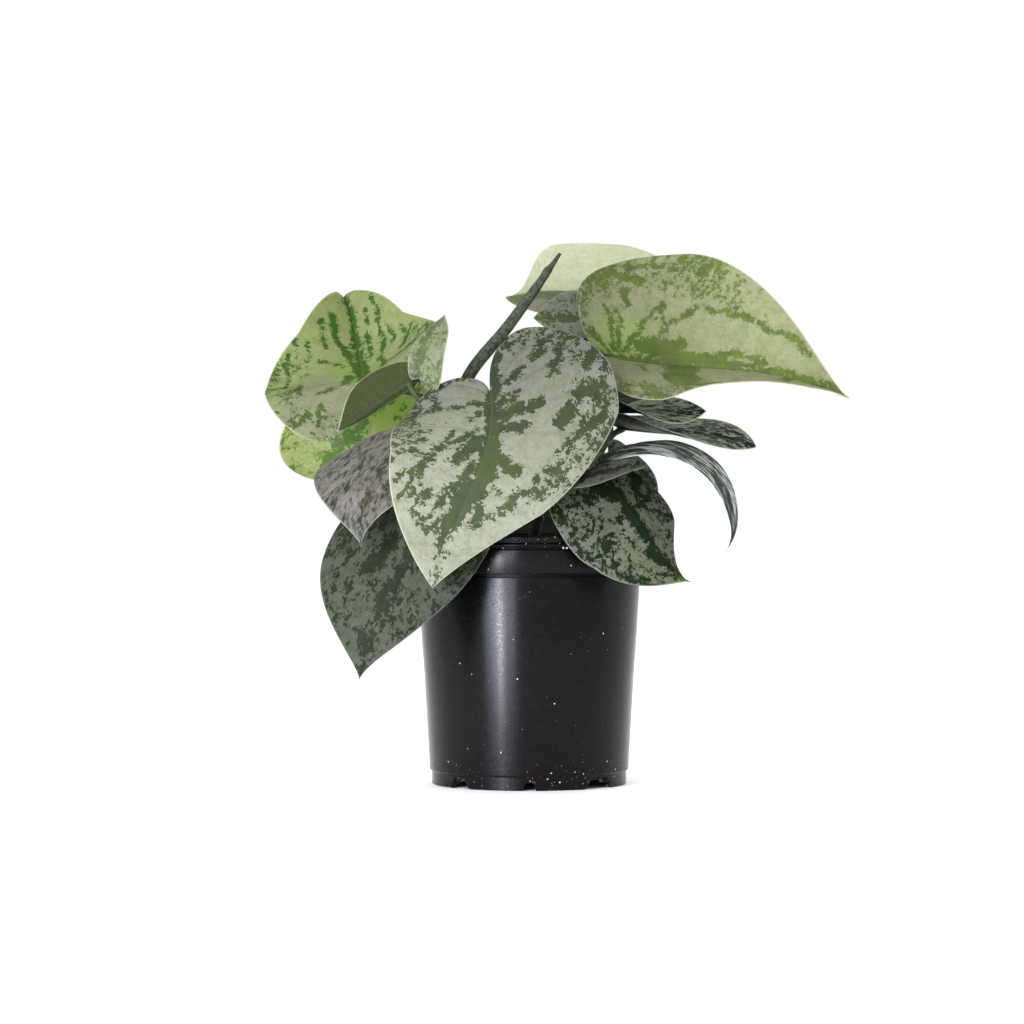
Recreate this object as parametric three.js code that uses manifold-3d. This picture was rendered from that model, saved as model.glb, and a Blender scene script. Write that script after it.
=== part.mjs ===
// Satin pothos (Scindapsus pictus) in a black nursery pot.
// Millimetres, +Z up. The origin is on the pot's axis, on the surface that it stands on.
// The plant's fullest side faces -Y. Left and right in the names are as seen from that side.
import * as THREE from "three";
import { mergeVertices } from "three/addons/utils/BufferGeometryUtils.js";
import Module from "manifold-3d";

const wasm = await Module();
wasm.setup();

// ---------------------------------------------------------------- driving dimensions
const GAP = 0.3; // clearance between pieces that touch

const POT_HEIGHT = 136.8;
const POT_WALL = 1.6;
const POT_FLOOR_TOP = 8.2;
const PAD_RADIUS = 18; // the middle of the pot's base stands on the ground, as its foot ring does
const PAD_TOP = 1.8;
const PAD_SLOPE = 4; // how far the base runs out while it rises from the pad
const RECESS_HEIGHT = 5.6; // underside of the base between the pad and the foot ring
const FOOT_HEIGHT = 7.0;
const FOOT_RADIUS = 53.4;
const FOOT_WIDTH = 3.2;
const BODY_LOW_RADIUS = 54.6;
const BODY_TOP_RADIUS = 61.0;
const GROOVE_HEIGHT = 113.6;
const BAND_RADIUS = 62.4;
const BAND_TOP = 128.6;
const LIP_RADIUS = 63.4;
const LIP_LOW = 133.2;
const POT_SIDES = 40;
const NOTCH_WIDTHS = [14, 8, 22, 8]; // drain notches in turn round the foot
const NOTCH_HEIGHTS = [5.8, 4.2, 5.8, 4.2];
const NOTCH_START = -45; // degrees from -Y to the first
const NOTCH_COUNT = 8;

const SOIL_EDGE = 123; // height of the soil at the pot's wall
const SOIL_CROWN = 129; // height of the soil at the axis
const SOIL_SIDES = 28;
const SOIL_RINGS = 5;
const HOLE_LENGTH = 40; // of the cut for a vine, from under its foot to above the soil
const HOLE_SIDES = 12;

const BLADE = 0.8; // thickness of a leaf
const VINE_RADII = [3.2, 3.2, 3.2, 3.0, 2.4]; // of a vine that ends at a node, along its path
const VINE_SIDES = 10;
const PETIOLE_RADIUS = 1.7;
const PETIOLE_SIDES = 6;
const PETIOLE_STEPS = 8;
const PETIOLE_GAP = 0.45; // clearance between a petiole's end and its blade
const PETIOLE_RISE = 0.45; // how firmly a petiole sets off along its vine, as a share of its span
const PETIOLE_REACH = 0.32; // how firmly it lines up with its leaf

const GREEN_SILVER = "#9fa88d";
const GREEN_DEEP = "#5c7a46";
const GREEN_PALE = "#b8c68a";
const GREY_SILVER = "#86877f";
const STEM_OLIVE = "#474a36";

// ---------------------------------------------------------------- helpers
const degrees = THREE.MathUtils.degToRad;
const vector = (x, y, z) => new THREE.Vector3(x, y, z);
const smooth = (x) => THREE.MathUtils.smoothstep(x, 0, 1);

/** A closed geometry as a solid, with the vertices that coincide merged. */
function solidOf(geometry) {
  const bare = geometry.clone();
  bare.deleteAttribute("normal");
  bare.deleteAttribute("uv");
  const merged = mergeVertices(bare, 1e-4);
  return new wasm.Manifold(
    new wasm.Mesh({
      numProp: 3,
      vertProperties: new Float32Array(merged.attributes.position.array),
      triVerts: new Uint32Array(merged.index.array),
    }),
  );
}

/** A solid as a geometry that a mesh can hold. */
function geometryOf(solid) {
  const mesh = solid.getMesh();
  const geometry = new THREE.BufferGeometry();
  geometry.setAttribute("position", new THREE.BufferAttribute(mesh.vertProperties, 3));
  geometry.setIndex(new THREE.BufferAttribute(mesh.triVerts, 1));
  geometry.computeVertexNormals();
  return geometry;
}

/** A lathe turned about +Z from [radius, height] points that start and end on the axis. */
function turned(profile, sides) {
  const points = profile.map(([radius, height]) => new THREE.Vector2(radius, height));
  const geometry = new THREE.LatheGeometry(points, sides);
  geometry.rotateX(Math.PI / 2);
  return geometry;
}

/** A closed round tube along a curve, whose radius follows radiusAt(0..1). */
function taperedTube(curve, radiusAt, sides, steps) {
  const frames = curve.computeFrenetFrames(steps, false);
  const positions = [];
  const index = [];
  for (let i = 0; i <= steps; i++) {
    const centre = curve.getPointAt(i / steps);
    const radius = radiusAt(i / steps);
    for (let k = 0; k < sides; k++) {
      const angle = (2 * Math.PI * k) / sides;
      const point = centre
        .clone()
        .addScaledVector(frames.normals[i], radius * Math.cos(angle))
        .addScaledVector(frames.binormals[i], radius * Math.sin(angle));
      positions.push(...point);
    }
  }
  for (let i = 0; i < steps; i++) {
    for (let k = 0; k < sides; k++) {
      const a = i * sides + k;
      const b = i * sides + ((k + 1) % sides);
      index.push(a, b, b + sides, a, b + sides, a + sides);
    }
  }
  const last = steps * sides;
  for (let k = 1; k < sides - 1; k++) {
    index.push(0, k + 1, k);
    index.push(last, last + k, last + k + 1);
  }
  const geometry = new THREE.BufferGeometry();
  geometry.setAttribute("position", new THREE.Float32BufferAttribute(positions, 3));
  geometry.setIndex(index);
  return geometry;
}

// ---------------------------------------------------------------- leaves
// Every leaf is the same heart-shaped blade with its own size, place and bend. A blade has two halves
// that meet at the midrib: the right half is on the right when the eye looks along the leaf towards its
// tip with the upper face up. Lengths are in millimetres and angles in degrees.
//   at            where the petiole meets the blade, at the bottom of the sinus between the lobes
//   heading       compass direction of the midrib there, counter-clockwise from +X
//   pitch, roll   rise of the midrib above level, and turn about it
//   length        midrib from the sinus to the tip
//   half, lobe    width of the [left, right] half, and how far its lobe reaches back past the sinus
//   lobeAt        how far out the lobe's end lies, as a share of the half's width
//   widest        where the blade is widest, as a share of the length
//   shoulder, taper  fullness of the [left, right] margin past the widest place, and sharpness of its tip
//   droop, sweep  bend of the midrib down and to the right, over its [near, far] half
//   hook          extra droop of the last part, at the tip
//   twist         turn of the blade about its midrib from sinus to tip
//   lobeDroop     how far the lobes hang
//   fold          rise of the [left, right] half at the midrib, at the sinus and at the tip
//   curl          extra rise gained across the half to its margin, at the sinus and at the tip
const PLAIN_LEAF = {
  pitch: 0,
  roll: 0,
  lobeAt: 0.45,
  widest: 0.16,
  shoulder: [1.9, 1.9],
  taper: [1.2, 1.2],
  droop: [0, 0],
  sweep: [0, 0],
  hook: 0,
  twist: 0,
  lobeDroop: 0,
  fold: { left: [0, 0], right: [0, 0] },
  curl: { left: [0, 0], right: [0, 0] },
  rows: 9,
  columns: 3,
  colour: GREEN_SILVER,
};

const LEAVES = {
  leaf_front: {
    at: [-21, -46, 213],
    heading: -78,
    pitch: -49,
    length: 118,
    half: [68, 53],
    lobe: [39, 13],
    lobeAt: 0.34,
    widest: 0.14,
    shoulder: [1.1, 2.6],
    taper: [1.1, 1.0],
    droop: [26, 10],
    sweep: [28, -7],
    hook: 10,
    lobeDroop: -9,
    fold: { left: [18, -7], right: [-9, 8] },
    curl: { left: [3, 3], right: [-33, 6] },
    rows: 13,
    columns: 5,
  },
  leaf_right_top: {
    at: [46, 1, 234],
    heading: 12,
    pitch: -8,
    roll: 41,
    length: 133,
    half: [71, 65],
    lobe: [21, 19],
    lobeAt: 0.48,
    widest: 0.25,
    taper: [1.6, 1.6],
    droop: [-21, 26],
    sweep: [18, -2],
    hook: 5,
    twist: 4,
    fold: { left: [23, 31], right: [30, 31] },
    curl: { left: [-10, 20], right: [-29, 23] },
    rows: 13,
    columns: 5,
  },
  leaf_crown: {
    at: [53, 65, 271],
    heading: 184,
    pitch: 12,
    roll: -31,
    length: 67,
    half: [45, 51],
    lobe: [18, 33],
    lobeAt: 0.5,
    widest: 0.08,
    shoulder: [2.4, 7.4],
    taper: [0.8, 3.6],
    droop: [7, 22],
    sweep: [-10, 13],
    hook: -8,
    twist: 11,
    lobeDroop: -12,
    fold: { left: [8, -2], right: [13, -13] },
    curl: { left: [-7, -15], right: [-5, 42] },
    rows: 12,
    columns: 4,
    colour: GREEN_PALE,
  },
  leaf_crown_low: {
    at: [33, 21, 257],
    heading: 194,
    pitch: -1,
    roll: -53,
    length: 31,
    half: [17, 20],
    lobe: [8, 8],
    taper: [1.0, 1.0],
    droop: [3, 1],
    sweep: [1, 6],
    fold: { left: [6, -2], right: [0, 0] },
    curl: { left: [8, 4], right: [0, 0] },
    colour: GREY_SILVER,
  },
  leaf_left_top: {
    at: [-92, 7, 222],
    heading: 88,
    roll: -21,
    length: 98,
    half: [54, 52],
    lobe: [39, 25],
    lobeAt: 0.48,
    widest: -0.08,
    taper: [1.1, 1.1],
    droop: [-57, 29],
    sweep: [2, -6],
    hook: 34,
    twist: 21,
    lobeDroop: 100,
    fold: { left: [13, 52], right: [8, 44] },
    curl: { left: [4, -8], right: [19, 30] },
    rows: 13,
    columns: 5,
  },
  leaf_left_narrow: {
    at: [-60, -31, 223.5],
    heading: 82,
    pitch: 98,
    roll: -22,
    length: 42,
    half: [6, 20],
    lobe: [3, 5],
    lobeAt: 0.5,
    taper: [1.15, 1.15],
    droop: [50, 10],
    sweep: [0, 1],
    twist: -12,
    fold: { left: [30, 10], right: [9, 0] },
    curl: { left: [0, 0], right: [21, 4] },
  },
  leaf_left_back: {
    at: [-72, 64, 217],
    heading: 190,
    pitch: -35,
    roll: -59,
    length: 83,
    half: [20, 33],
    lobe: [10, 18],
    lobeAt: 0.44,
    widest: 0.6,
    shoulder: [2.4, 2.4],
    taper: [1.1, 1.1],
    droop: [9, 82],
    sweep: [-7, -7],
    hook: 10,
    twist: -24,
    fold: { left: [9, 0], right: [-1, 18] },
    curl: { left: [1, 0], right: [-14, 44] },
    rows: 11,
    columns: 4,
    colour: GREEN_DEEP,
  },
  leaf_left_mid: {
    at: [-70, -40, 184],
    heading: -132,
    pitch: -39,
    roll: -16,
    length: 68,
    half: [27, 42],
    lobe: [8, 13],
    lobeAt: 0.29,
    widest: 0.26,
    shoulder: [2.0, 2.0],
    taper: [1.8, 1.8],
    droop: [5, 41],
    sweep: [-9, -15],
    hook: 7,
    lobeDroop: -5,
    fold: { left: [-1, -3], right: [-6, 5] },
    curl: { left: [-7, -8], right: [-24, 8] },
    rows: 11,
    columns: 4,
    colour: GREY_SILVER,
  },
  leaf_left_low: {
    at: [-46, -55, 157],
    heading: 170,
    pitch: -58,
    roll: -70,
    length: 108,
    half: [37, 57],
    lobe: [11, 15],
    lobeAt: 0.26,
    widest: 0.15,
    shoulder: [2.7, 2.7],
    taper: [1.45, 1.45],
    droop: [-13, 7],
    sweep: [-13, -7],
    hook: 8,
    twist: -5,
    lobeDroop: -11,
    fold: { left: [-5, 10], right: [-1, 10] },
    curl: { left: [-20, 9], right: [-47, -4] },
    rows: 13,
    columns: 5,
    colour: GREY_SILVER,
  },
  leaf_left_rolled: {
    at: [-65, -30, 218],
    heading: 192,
    pitch: -29,
    roll: 121,
    length: 51,
    half: [22, 3],
    lobe: [9, 5],
    droop: [8, 13],
    sweep: [14, -4],
    fold: { left: [10, -1], right: [30, 30] },
    curl: { left: [18, -1], right: [0, 0] },
    colour: GREEN_DEEP,
  },
  leaf_right_low: {
    at: [42, -54, 163],
    heading: -18,
    pitch: -44,
    roll: 36,
    length: 69,
    half: [34, 39],
    lobe: [8, 22],
    lobeAt: 0.49,
    widest: 0.22,
    shoulder: [2.6, 2.6],
    taper: [1.7, 1.7],
    droop: [20, -1],
    sweep: [2, -32],
    hook: -20,
    twist: -6,
    fold: { left: [-7, -22], right: [-14, -18] },
    curl: { left: [-21, 44], right: [-22, -14] },
    rows: 11,
    columns: 4,
  },
  leaf_right_small: {
    at: [53, -67, 173],
    heading: 179,
    pitch: -12,
    roll: -26,
    length: 41,
    half: [20, 12],
    lobe: [8, 4],
    droop: [4, 1],
    fold: { left: [11, -2], right: [0, 0] },
    curl: { left: [17, -1], right: [0, 0] },
    colour: GREY_SILVER,
  },
  leaf_front_under: {
    at: [10, -29, 213],
    heading: -89,
    pitch: -61,
    roll: -20,
    length: 61,
    half: [42, 26],
    lobe: [4, 10],
    widest: 0.17,
    shoulder: [1.6, 1.6],
    taper: [1.1, 1.1],
    droop: [13, 6],
    sweep: [-4, 5],
    fold: { left: [-9, 0], right: [0, 0] },
    curl: { left: [-8, 2], right: [0, 0] },
  },
  leaf_right_rolled: {
    at: [50, 5, 205],
    heading: -14,
    pitch: -2,
    roll: 7,
    length: 48,
    half: [24, 25],
    lobe: [8, 8],
    widest: 0.17,
    shoulder: [2.1, 2.1],
    taper: [0.9, 0.9],
    hook: -7,
    sweep: [-2, -5],
    twist: 23,
    fold: { left: [-14, 6], right: [2, -10] },
    curl: { left: [39, 7], right: [44, 0] },
    columns: 4,
    colour: GREY_SILVER,
  },
  leaf_right_flat: {
    at: [53, 13, 196],
    heading: -11,
    pitch: -9,
    roll: 11,
    length: 75,
    half: [35, 34],
    lobe: [11, 10],
    widest: 0.19,
    shoulder: [2.4, 2.4],
    taper: [0.9, 0.9],
    droop: [-7, 17],
    hook: -8,
    sweep: [3, 7],
    twist: 13,
    fold: { left: [3, 5], right: [15, -6] },
    curl: { left: [-3, -17], right: [19, 31] },
    rows: 11,
    columns: 4,
    colour: GREEN_DEEP,
  },
  leaf_right_strap: {
    at: [44, -30, 182],
    heading: -15,
    pitch: 25,
    roll: 5,
    length: 106,
    half: [27, 21],
    lobe: [3, 3],
    widest: 0.18,
    shoulder: [1.5, 1.5],
    droop: [61, 67],
    hook: 16,
    sweep: [9, 1],
    twist: 6,
    fold: { left: [-2, 12], right: [-6, 3] },
    curl: { left: [-14, 12], right: [-22, 12] },
    rows: 13,
    columns: 3,
    colour: GREY_SILVER,
  },
  leaf_right_inner: {
    at: [46, -8, 178],
    heading: -10,
    pitch: -53,
    roll: 44,
    length: 39,
    half: [23, 20],
    lobe: [10, 8],
    droop: [-7, 3],
    sweep: [2, 4],
    twist: 3,
    fold: { left: [-13, 2], right: [0, 0] },
    curl: { left: [-18, 0], right: [0, 0] },
    colour: GREEN_DEEP,
  },
  leaf_right_shade: {
    at: [42, 48, 213],
    heading: 2,
    pitch: 3,
    roll: 19,
    length: 38,
    half: [22, 22],
    lobe: [8, 8],
    droop: [2, 6],
    colour: GREEN_DEEP,
  },
  leaf_back_left: {
    at: [-26, 56, 183],
    heading: 128,
    pitch: -8,
    roll: -8,
    length: 90,
    half: [38, 40],
    lobe: [16, 22],
    droop: [22, 30],
    sweep: [4, 4],
    hook: 8,
    fold: { left: [8, 10], right: [14, 10] },
    curl: { left: [-14, 0], right: [-12, 0] },
    rows: 11,
    columns: 4,
  },
  leaf_back_mid: {
    at: [10, 70, 178],
    heading: 74,
    pitch: -12,
    roll: -12,
    length: 78,
    half: [36, 32],
    lobe: [15, 14],
    droop: [24, 26],
    sweep: [-4, 6],
    hook: 10,
    fold: { left: [12, 8], right: [16, 8] },
    curl: { left: [-10, 0], right: [-16, 0] },
    rows: 11,
    columns: 4,
  },
  leaf_back_low: {
    at: [-8, 66, 152],
    heading: 104,
    pitch: -38,
    roll: 5,
    length: 70,
    half: [32, 33],
    lobe: [15, 16],
    droop: [18, 16],
    sweep: [3, -6],
    hook: 8,
    fold: { left: [10, 6], right: [10, 6] },
    curl: { left: [-12, 0], right: [-14, 0] },
    rows: 11,
    columns: 4,
    colour: GREY_SILVER,
  },
};

// How a blade is drawn from its named sizes.
const LOBE_SHARE = 0.36; // share of the margin, from the sinus, that runs round the lobe
const ROW_SPACING = 1.7; // how much closer the rows start together at the sinus
const SPINE_STEPS = 30;
const LOBE_STEPS = 6;
const CURL_STEPS = 6; // straight pieces that a curled half is summed from
const HOOK_START = 0.85; // share of the length where the hook begins
const SINUS_END = 0.3; // share of the rows that bow outwards round the sinus, before they fan to the margin
const SINUS_BOW = [-0.22, -0.2]; // bow of a row at the sinus, out and back, as shares of the lobe
const FAN_BOW = [0.03, -0.07]; // bow of a row past it, as shares of the half's width and the length

/** A flat point of one half blade: s runs from the sinus to the tip, t from the midrib to the margin. */
function flatPoint(leaf, side, s, t) {
  const half = leaf.half[side];
  const lobe = leaf.lobe[side];
  const lobeEnd = leaf.lobeAt * half;
  const widestAt = leaf.widest * leaf.length;
  const round = Math.min(s / LOBE_SHARE, 1) * (Math.PI / 2);
  const past = Math.max((s - LOBE_SHARE) / (1 - LOBE_SHARE), 0);
  const margin =
    s < LOBE_SHARE
      ? [lobeEnd + (half - lobeEnd) * Math.sin(round), widestAt - (widestAt + lobe) * Math.cos(round)]
      : [
          half * (1 - past ** leaf.shoulder[side]) ** leaf.taper[side],
          widestAt + (leaf.length - widestAt) * past,
        ];
  const midrib = leaf.length * s ** ROW_SPACING;
  const blend = smooth(s / SINUS_END);
  const fade = blend * (1 - s);
  const bowOut = (1 - blend) * SINUS_BOW[0] * lobeEnd + fade * FAN_BOW[0] * half;
  const bowBack = (1 - blend) * SINUS_BOW[1] * lobe + fade * FAN_BOW[1] * leaf.length;
  const bow = 4 * t * (1 - t);
  return [t * margin[0] + bow * bowOut, (1 - t) * midrib + t * margin[1] + bow * bowBack];
}

/** The midrib's place and axes at every step: along the leaf, to its right and out of its upper face. */
function spineOf(leaf) {
  const [heading, pitch, roll] = [leaf.heading, leaf.pitch, leaf.roll].map(degrees);
  const along = vector(
    Math.cos(pitch) * Math.cos(heading),
    Math.cos(pitch) * Math.sin(heading),
    Math.sin(pitch),
  );
  const level = vector(Math.sin(heading), -Math.cos(heading), 0);
  const right = level
    .clone()
    .multiplyScalar(Math.cos(roll))
    .addScaledVector(level.clone().cross(along), -Math.sin(roll));
  const up = right.clone().cross(along);
  const start = { y: 0, place: vector(...leaf.at), along, right, up };

  const forward = [start];
  const step = leaf.length / SPINE_STEPS;
  for (let i = 0; i < SPINE_STEPS; i++) {
    const share = (i + 0.5) / SPINE_STEPS;
    const stretch = share < 0.5 ? 0 : 1;
    const hook = share > HOOK_START ? leaf.hook / (1 - HOOK_START) / SPINE_STEPS : 0;
    const frame = turnedFrame(
      forward[i],
      (leaf.droop[stretch] * 2) / SPINE_STEPS + hook,
      (leaf.sweep[stretch] * 2) / SPINE_STEPS,
      leaf.twist / SPINE_STEPS,
    );
    frame.place.addScaledVector(frame.along, step);
    frame.y = (i + 1) * step;
    forward.push(frame);
  }

  const back = [start];
  const backStep = (Math.max(...leaf.lobe) * 1.2) / LOBE_STEPS;
  for (let i = 0; i < LOBE_STEPS; i++) {
    const frame = turnedFrame(back[i], -leaf.lobeDroop / LOBE_STEPS, 0, 0);
    frame.place.addScaledVector(frame.along, -backStep);
    frame.y = -(i + 1) * backStep;
    back.push(frame);
  }
  return [...back.slice(1).reverse(), ...forward];
}

/** A copy of a frame turned down, to the right and about its own length. */
function turnedFrame(frame, down, toRight, about) {
  const next = {
    place: frame.place.clone(),
    along: frame.along.clone(),
    right: frame.right.clone(),
    up: frame.up.clone(),
  };
  const axes = [next.along, next.right, next.up];
  for (const [axis, angle] of [
    [next.right, -down],
    [next.up, -toRight],
    [next.along, about],
  ]) {
    const still = axis.clone();
    axes.forEach((a) => a.applyAxisAngle(still, degrees(angle)));
  }
  return next;
}

/** The midrib's frame at distance y from the sinus, between two steps of the spine. */
function frameAt(spine, y) {
  let i = 0;
  while (i < spine.length - 2 && spine[i + 1].y < y) i++;
  const [a, b] = [spine[i], spine[i + 1]];
  const share = (y - a.y) / (b.y - a.y);
  const inside = THREE.MathUtils.clamp(share, 0, 1);
  return {
    place: a.place.clone().lerp(b.place, share),
    along: a.along.clone().lerp(b.along, inside).normalize(),
    right: a.right.clone().lerp(b.right, inside).normalize(),
    up: a.up.clone().lerp(b.up, inside).normalize(),
  };
}

/** The place in space of a flat point of one half. */
function bentPoint(leaf, spine, side, x, y) {
  const frame = frameAt(spine, y);
  const share = THREE.MathUtils.clamp(y / leaf.length, 0, 1);
  const name = side === 1 ? "right" : "left";
  const fold = THREE.MathUtils.lerp(...leaf.fold[name], share);
  const curl = THREE.MathUtils.lerp(...leaf.curl[name], share);
  let out = 0;
  let rise = 0;
  for (let k = 0; k < CURL_STEPS; k++) {
    const angle = degrees(fold + (curl * x * (k + 0.5)) / CURL_STEPS / leaf.half[side]);
    out += (Math.cos(angle) * x) / CURL_STEPS;
    rise += (Math.sin(angle) * x) / CURL_STEPS;
  }
  return frame.place
    .addScaledVector(frame.right, side === 1 ? out : -out)
    .addScaledVector(frame.up, rise);
}

/** The blade as a closed thin solid: its face, the same face on the other side, and the rim between. */
function bladeGeometry(leaf) {
  const spine = spineOf(leaf);
  const positions = [];
  const vertexAt = new Map();
  const key = (row, column) => (row === leaf.rows ? "tip" : row + "," + column);
  for (let row = 0; row <= leaf.rows; row++) {
    for (let column = -leaf.columns; column <= leaf.columns; column++) {
      if (vertexAt.has(key(row, column))) continue;
      const side = column < 0 ? 0 : 1;
      const [x, y] = flatPoint(leaf, side, row / leaf.rows, Math.abs(column) / leaf.columns);
      vertexAt.set(key(row, column), positions.length / 3);
      positions.push(...bentPoint(leaf, spine, side, x, y));
    }
  }
  const face = [];
  const addTriangle = (...corners) => {
    if (new Set(corners).size === 3) face.push(corners);
  };
  for (let row = 0; row < leaf.rows; row++) {
    for (let column = -leaf.columns; column < leaf.columns; column++) {
      const a = vertexAt.get(key(row, column));
      const b = vertexAt.get(key(row, column + 1));
      const c = vertexAt.get(key(row + 1, column + 1));
      const d = vertexAt.get(key(row + 1, column));
      if (column < 0) {
        addTriangle(a, b, c);
        addTriangle(a, c, d);
      } else {
        addTriangle(a, b, d);
        addTriangle(b, c, d);
      }
    }
  }
  return thickened(positions, face, BLADE);
}

/** A closed solid of the given thickness on both sides of an open surface. */
function thickened(positions, face, thickness) {
  const surface = new THREE.BufferGeometry();
  surface.setAttribute("position", new THREE.Float32BufferAttribute(positions, 3));
  surface.setIndex(face.flat());
  surface.computeVertexNormals();
  const normals = surface.attributes.normal.array;
  const count = positions.length / 3;
  const shifted = (side) => positions.map((p, i) => p + (side * normals[i] * thickness) / 2);
  const edges = new Set(face.flatMap(([a, b, c]) => [a + "," + b, b + "," + c, c + "," + a]));
  const index = face.flat();
  face.forEach(([a, b, c]) => index.push(c + count, b + count, a + count));
  edges.forEach((edge) => {
    const [a, b] = edge.split(",").map(Number);
    if (edges.has(b + "," + a)) return;
    index.push(b, a, a + count, b, a + count, b + count);
  });
  const solid = new THREE.BufferGeometry();
  solid.setAttribute(
    "position",
    new THREE.Float32BufferAttribute([...shifted(1), ...shifted(-1)], 3),
  );
  solid.setIndex(index);
  solid.computeVertexNormals();
  return solid;
}

// ---------------------------------------------------------------- vines and petioles
// A vine stands in the soil. Its petioles leave it at a share of its length, and each arches to the
// underside of one leaf. It passes through the points in via, or else it reaches the leaf along a mix
// of the leaf's own length and its upper face.
const VINES = {
  vine_front_left: {
    path: [
      [-20, -4, 106],
      [-20, -4, 121],
      [-20, -4, 131],
      [-27, -7, 148],
      [-39, -13, 172],
      [-42, -16, 198],
      [-33, -17, 223],
      [-12, -12, 250],
      [6, -6, 275],
      [17, -2, 291],
    ],
    radii: [3.2, 3.2, 3.2, 3.2, 3.3, 3.4, 3.4, 3.0, 2.5, 0.8],
    steps: 24,
    petioles: {
      leaf_front: { from: 0.47 },
      leaf_left_mid: { from: 0.4, via: [[-54, -20, 197], [-61, -27, 192]] },
      leaf_left_low: { from: 0.22 },
      leaf_left_rolled: { from: 0.4, via: [[-48, -26, 202], [-56, -34, 207], [-62, -36, 213]] },
    },
  },
  vine_left: {
    path: [
      [-24, 18, 106],
      [-24, 18, 121],
      [-24, 18, 131],
      [-28, 20, 146],
      [-36, 21, 172],
    ],
    radii: VINE_RADII,
    steps: 9,
    petioles: {
      leaf_left_top: { from: 0.9, via: [[-42, 20, 196], [-62, 15, 214], [-85, 9, 217]] },
      leaf_left_narrow: { from: 0.96 },
      leaf_left_back: { from: 0.97, via: [[-40, 27, 198], [-51, 52, 220], [-62, 70, 224]] },
    },
  },
  vine_front_right: {
    path: [
      [16, -20, 106],
      [16, -20, 121],
      [16, -20, 131],
      [19, -23, 143],
      [24, -25, 158],
    ],
    radii: VINE_RADII,
    steps: 8,
    petioles: {
      leaf_right_low: { from: 0.85 },
      leaf_right_small: { from: 0.95, via: [[40, -43, 175], [50, -58, 170]] },
      leaf_front_under: { from: 0.95 },
      leaf_right_strap: { from: 0.9 },
    },
  },
  vine_right: {
    path: [
      [24, 12, 106],
      [24, 12, 121],
      [24, 12, 131],
      [26, 12, 146],
      [30, 10, 170],
    ],
    radii: VINE_RADII,
    steps: 9,
    petioles: {
      leaf_right_top: { from: 0.95 },
      leaf_right_rolled: { from: 0.9, via: [[34, 3, 192], [43, 4, 203]] },
      leaf_right_flat: { from: 0.8, via: [[40, 14, 182], [47, 14, 192]] },
      leaf_right_inner: { from: 0.7 },
    },
  },
  vine_back: {
    path: [
      [2, 28, 106],
      [2, 28, 121],
      [2, 28, 131],
      [5, 30, 146],
      [9, 31, 172],
    ],
    radii: VINE_RADII,
    steps: 9,
    petioles: {
      leaf_crown: { from: 0.96 },
      leaf_crown_low: { from: 0.96, via: [[22, 27, 205], [32, 21, 246]] },
      leaf_right_shade: { from: 0.88 },
      leaf_back_left: { from: 0.84 },
      leaf_back_mid: { from: 0.78 },
      leaf_back_low: { from: 0.6 },
    },
  },
};

/** The curve of one petiole, from inside its vine to just under the blade it carries. */
function petioleCurve(stem, petiole, leaf) {
  const start = stem.getPointAt(petiole.from);
  const rise = stem.getTangentAt(petiole.from);
  const base = spineOf(leaf).find((frame) => frame.y === 0);
  const via = (petiole.via ?? []).map((point) => vector(...point));
  const along = petiole.along ?? 0.35;
  const arrival = via.length
    ? base.place.clone().sub(via.at(-1)).normalize()
    : base.up.clone().multiplyScalar(1 - along).addScaledVector(base.along, along).normalize();
  const tilt = PETIOLE_RADIUS * Math.sqrt(1 - arrival.dot(base.up) ** 2);
  const end = base.place.clone().addScaledVector(base.up, -(BLADE / 2 + PETIOLE_GAP + tilt));
  if (via.length) return new THREE.CatmullRomCurve3([start, ...via, end]);

  const span = start.distanceTo(end);
  return new THREE.CubicBezierCurve3(
    start,
    start.clone().addScaledVector(rise, span * PETIOLE_RISE),
    end.clone().addScaledVector(arrival, -span * PETIOLE_REACH),
    end,
  );
}

/** The radius at a share of a vine's length, between its named radii. */
function radiusBetween(radii, share) {
  const place = Math.min(share * (radii.length - 1), radii.length - 1 - 1e-9);
  const i = Math.floor(place);
  return THREE.MathUtils.lerp(radii[i], radii[i + 1], place - i);
}

/** A vine and its petioles, joined into one solid. */
function vineGeometry(vine) {
  const stem = new THREE.CatmullRomCurve3(vine.path.map((p) => vector(...p)));
  const stemRadius = (share) => radiusBetween(vine.radii, share);
  let solid = solidOf(taperedTube(stem, stemRadius, VINE_SIDES, vine.steps));
  for (const [name, petiole] of Object.entries(vine.petioles)) {
    const leaf = { ...PLAIN_LEAF, ...LEAVES[name] };
    const curve = petioleCurve(stem, petiole, leaf);
    const stalk = taperedTube(curve, () => PETIOLE_RADIUS, PETIOLE_SIDES, PETIOLE_STEPS);
    solid = solid.add(solidOf(stalk));
  }
  return geometryOf(solid);
}

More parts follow.
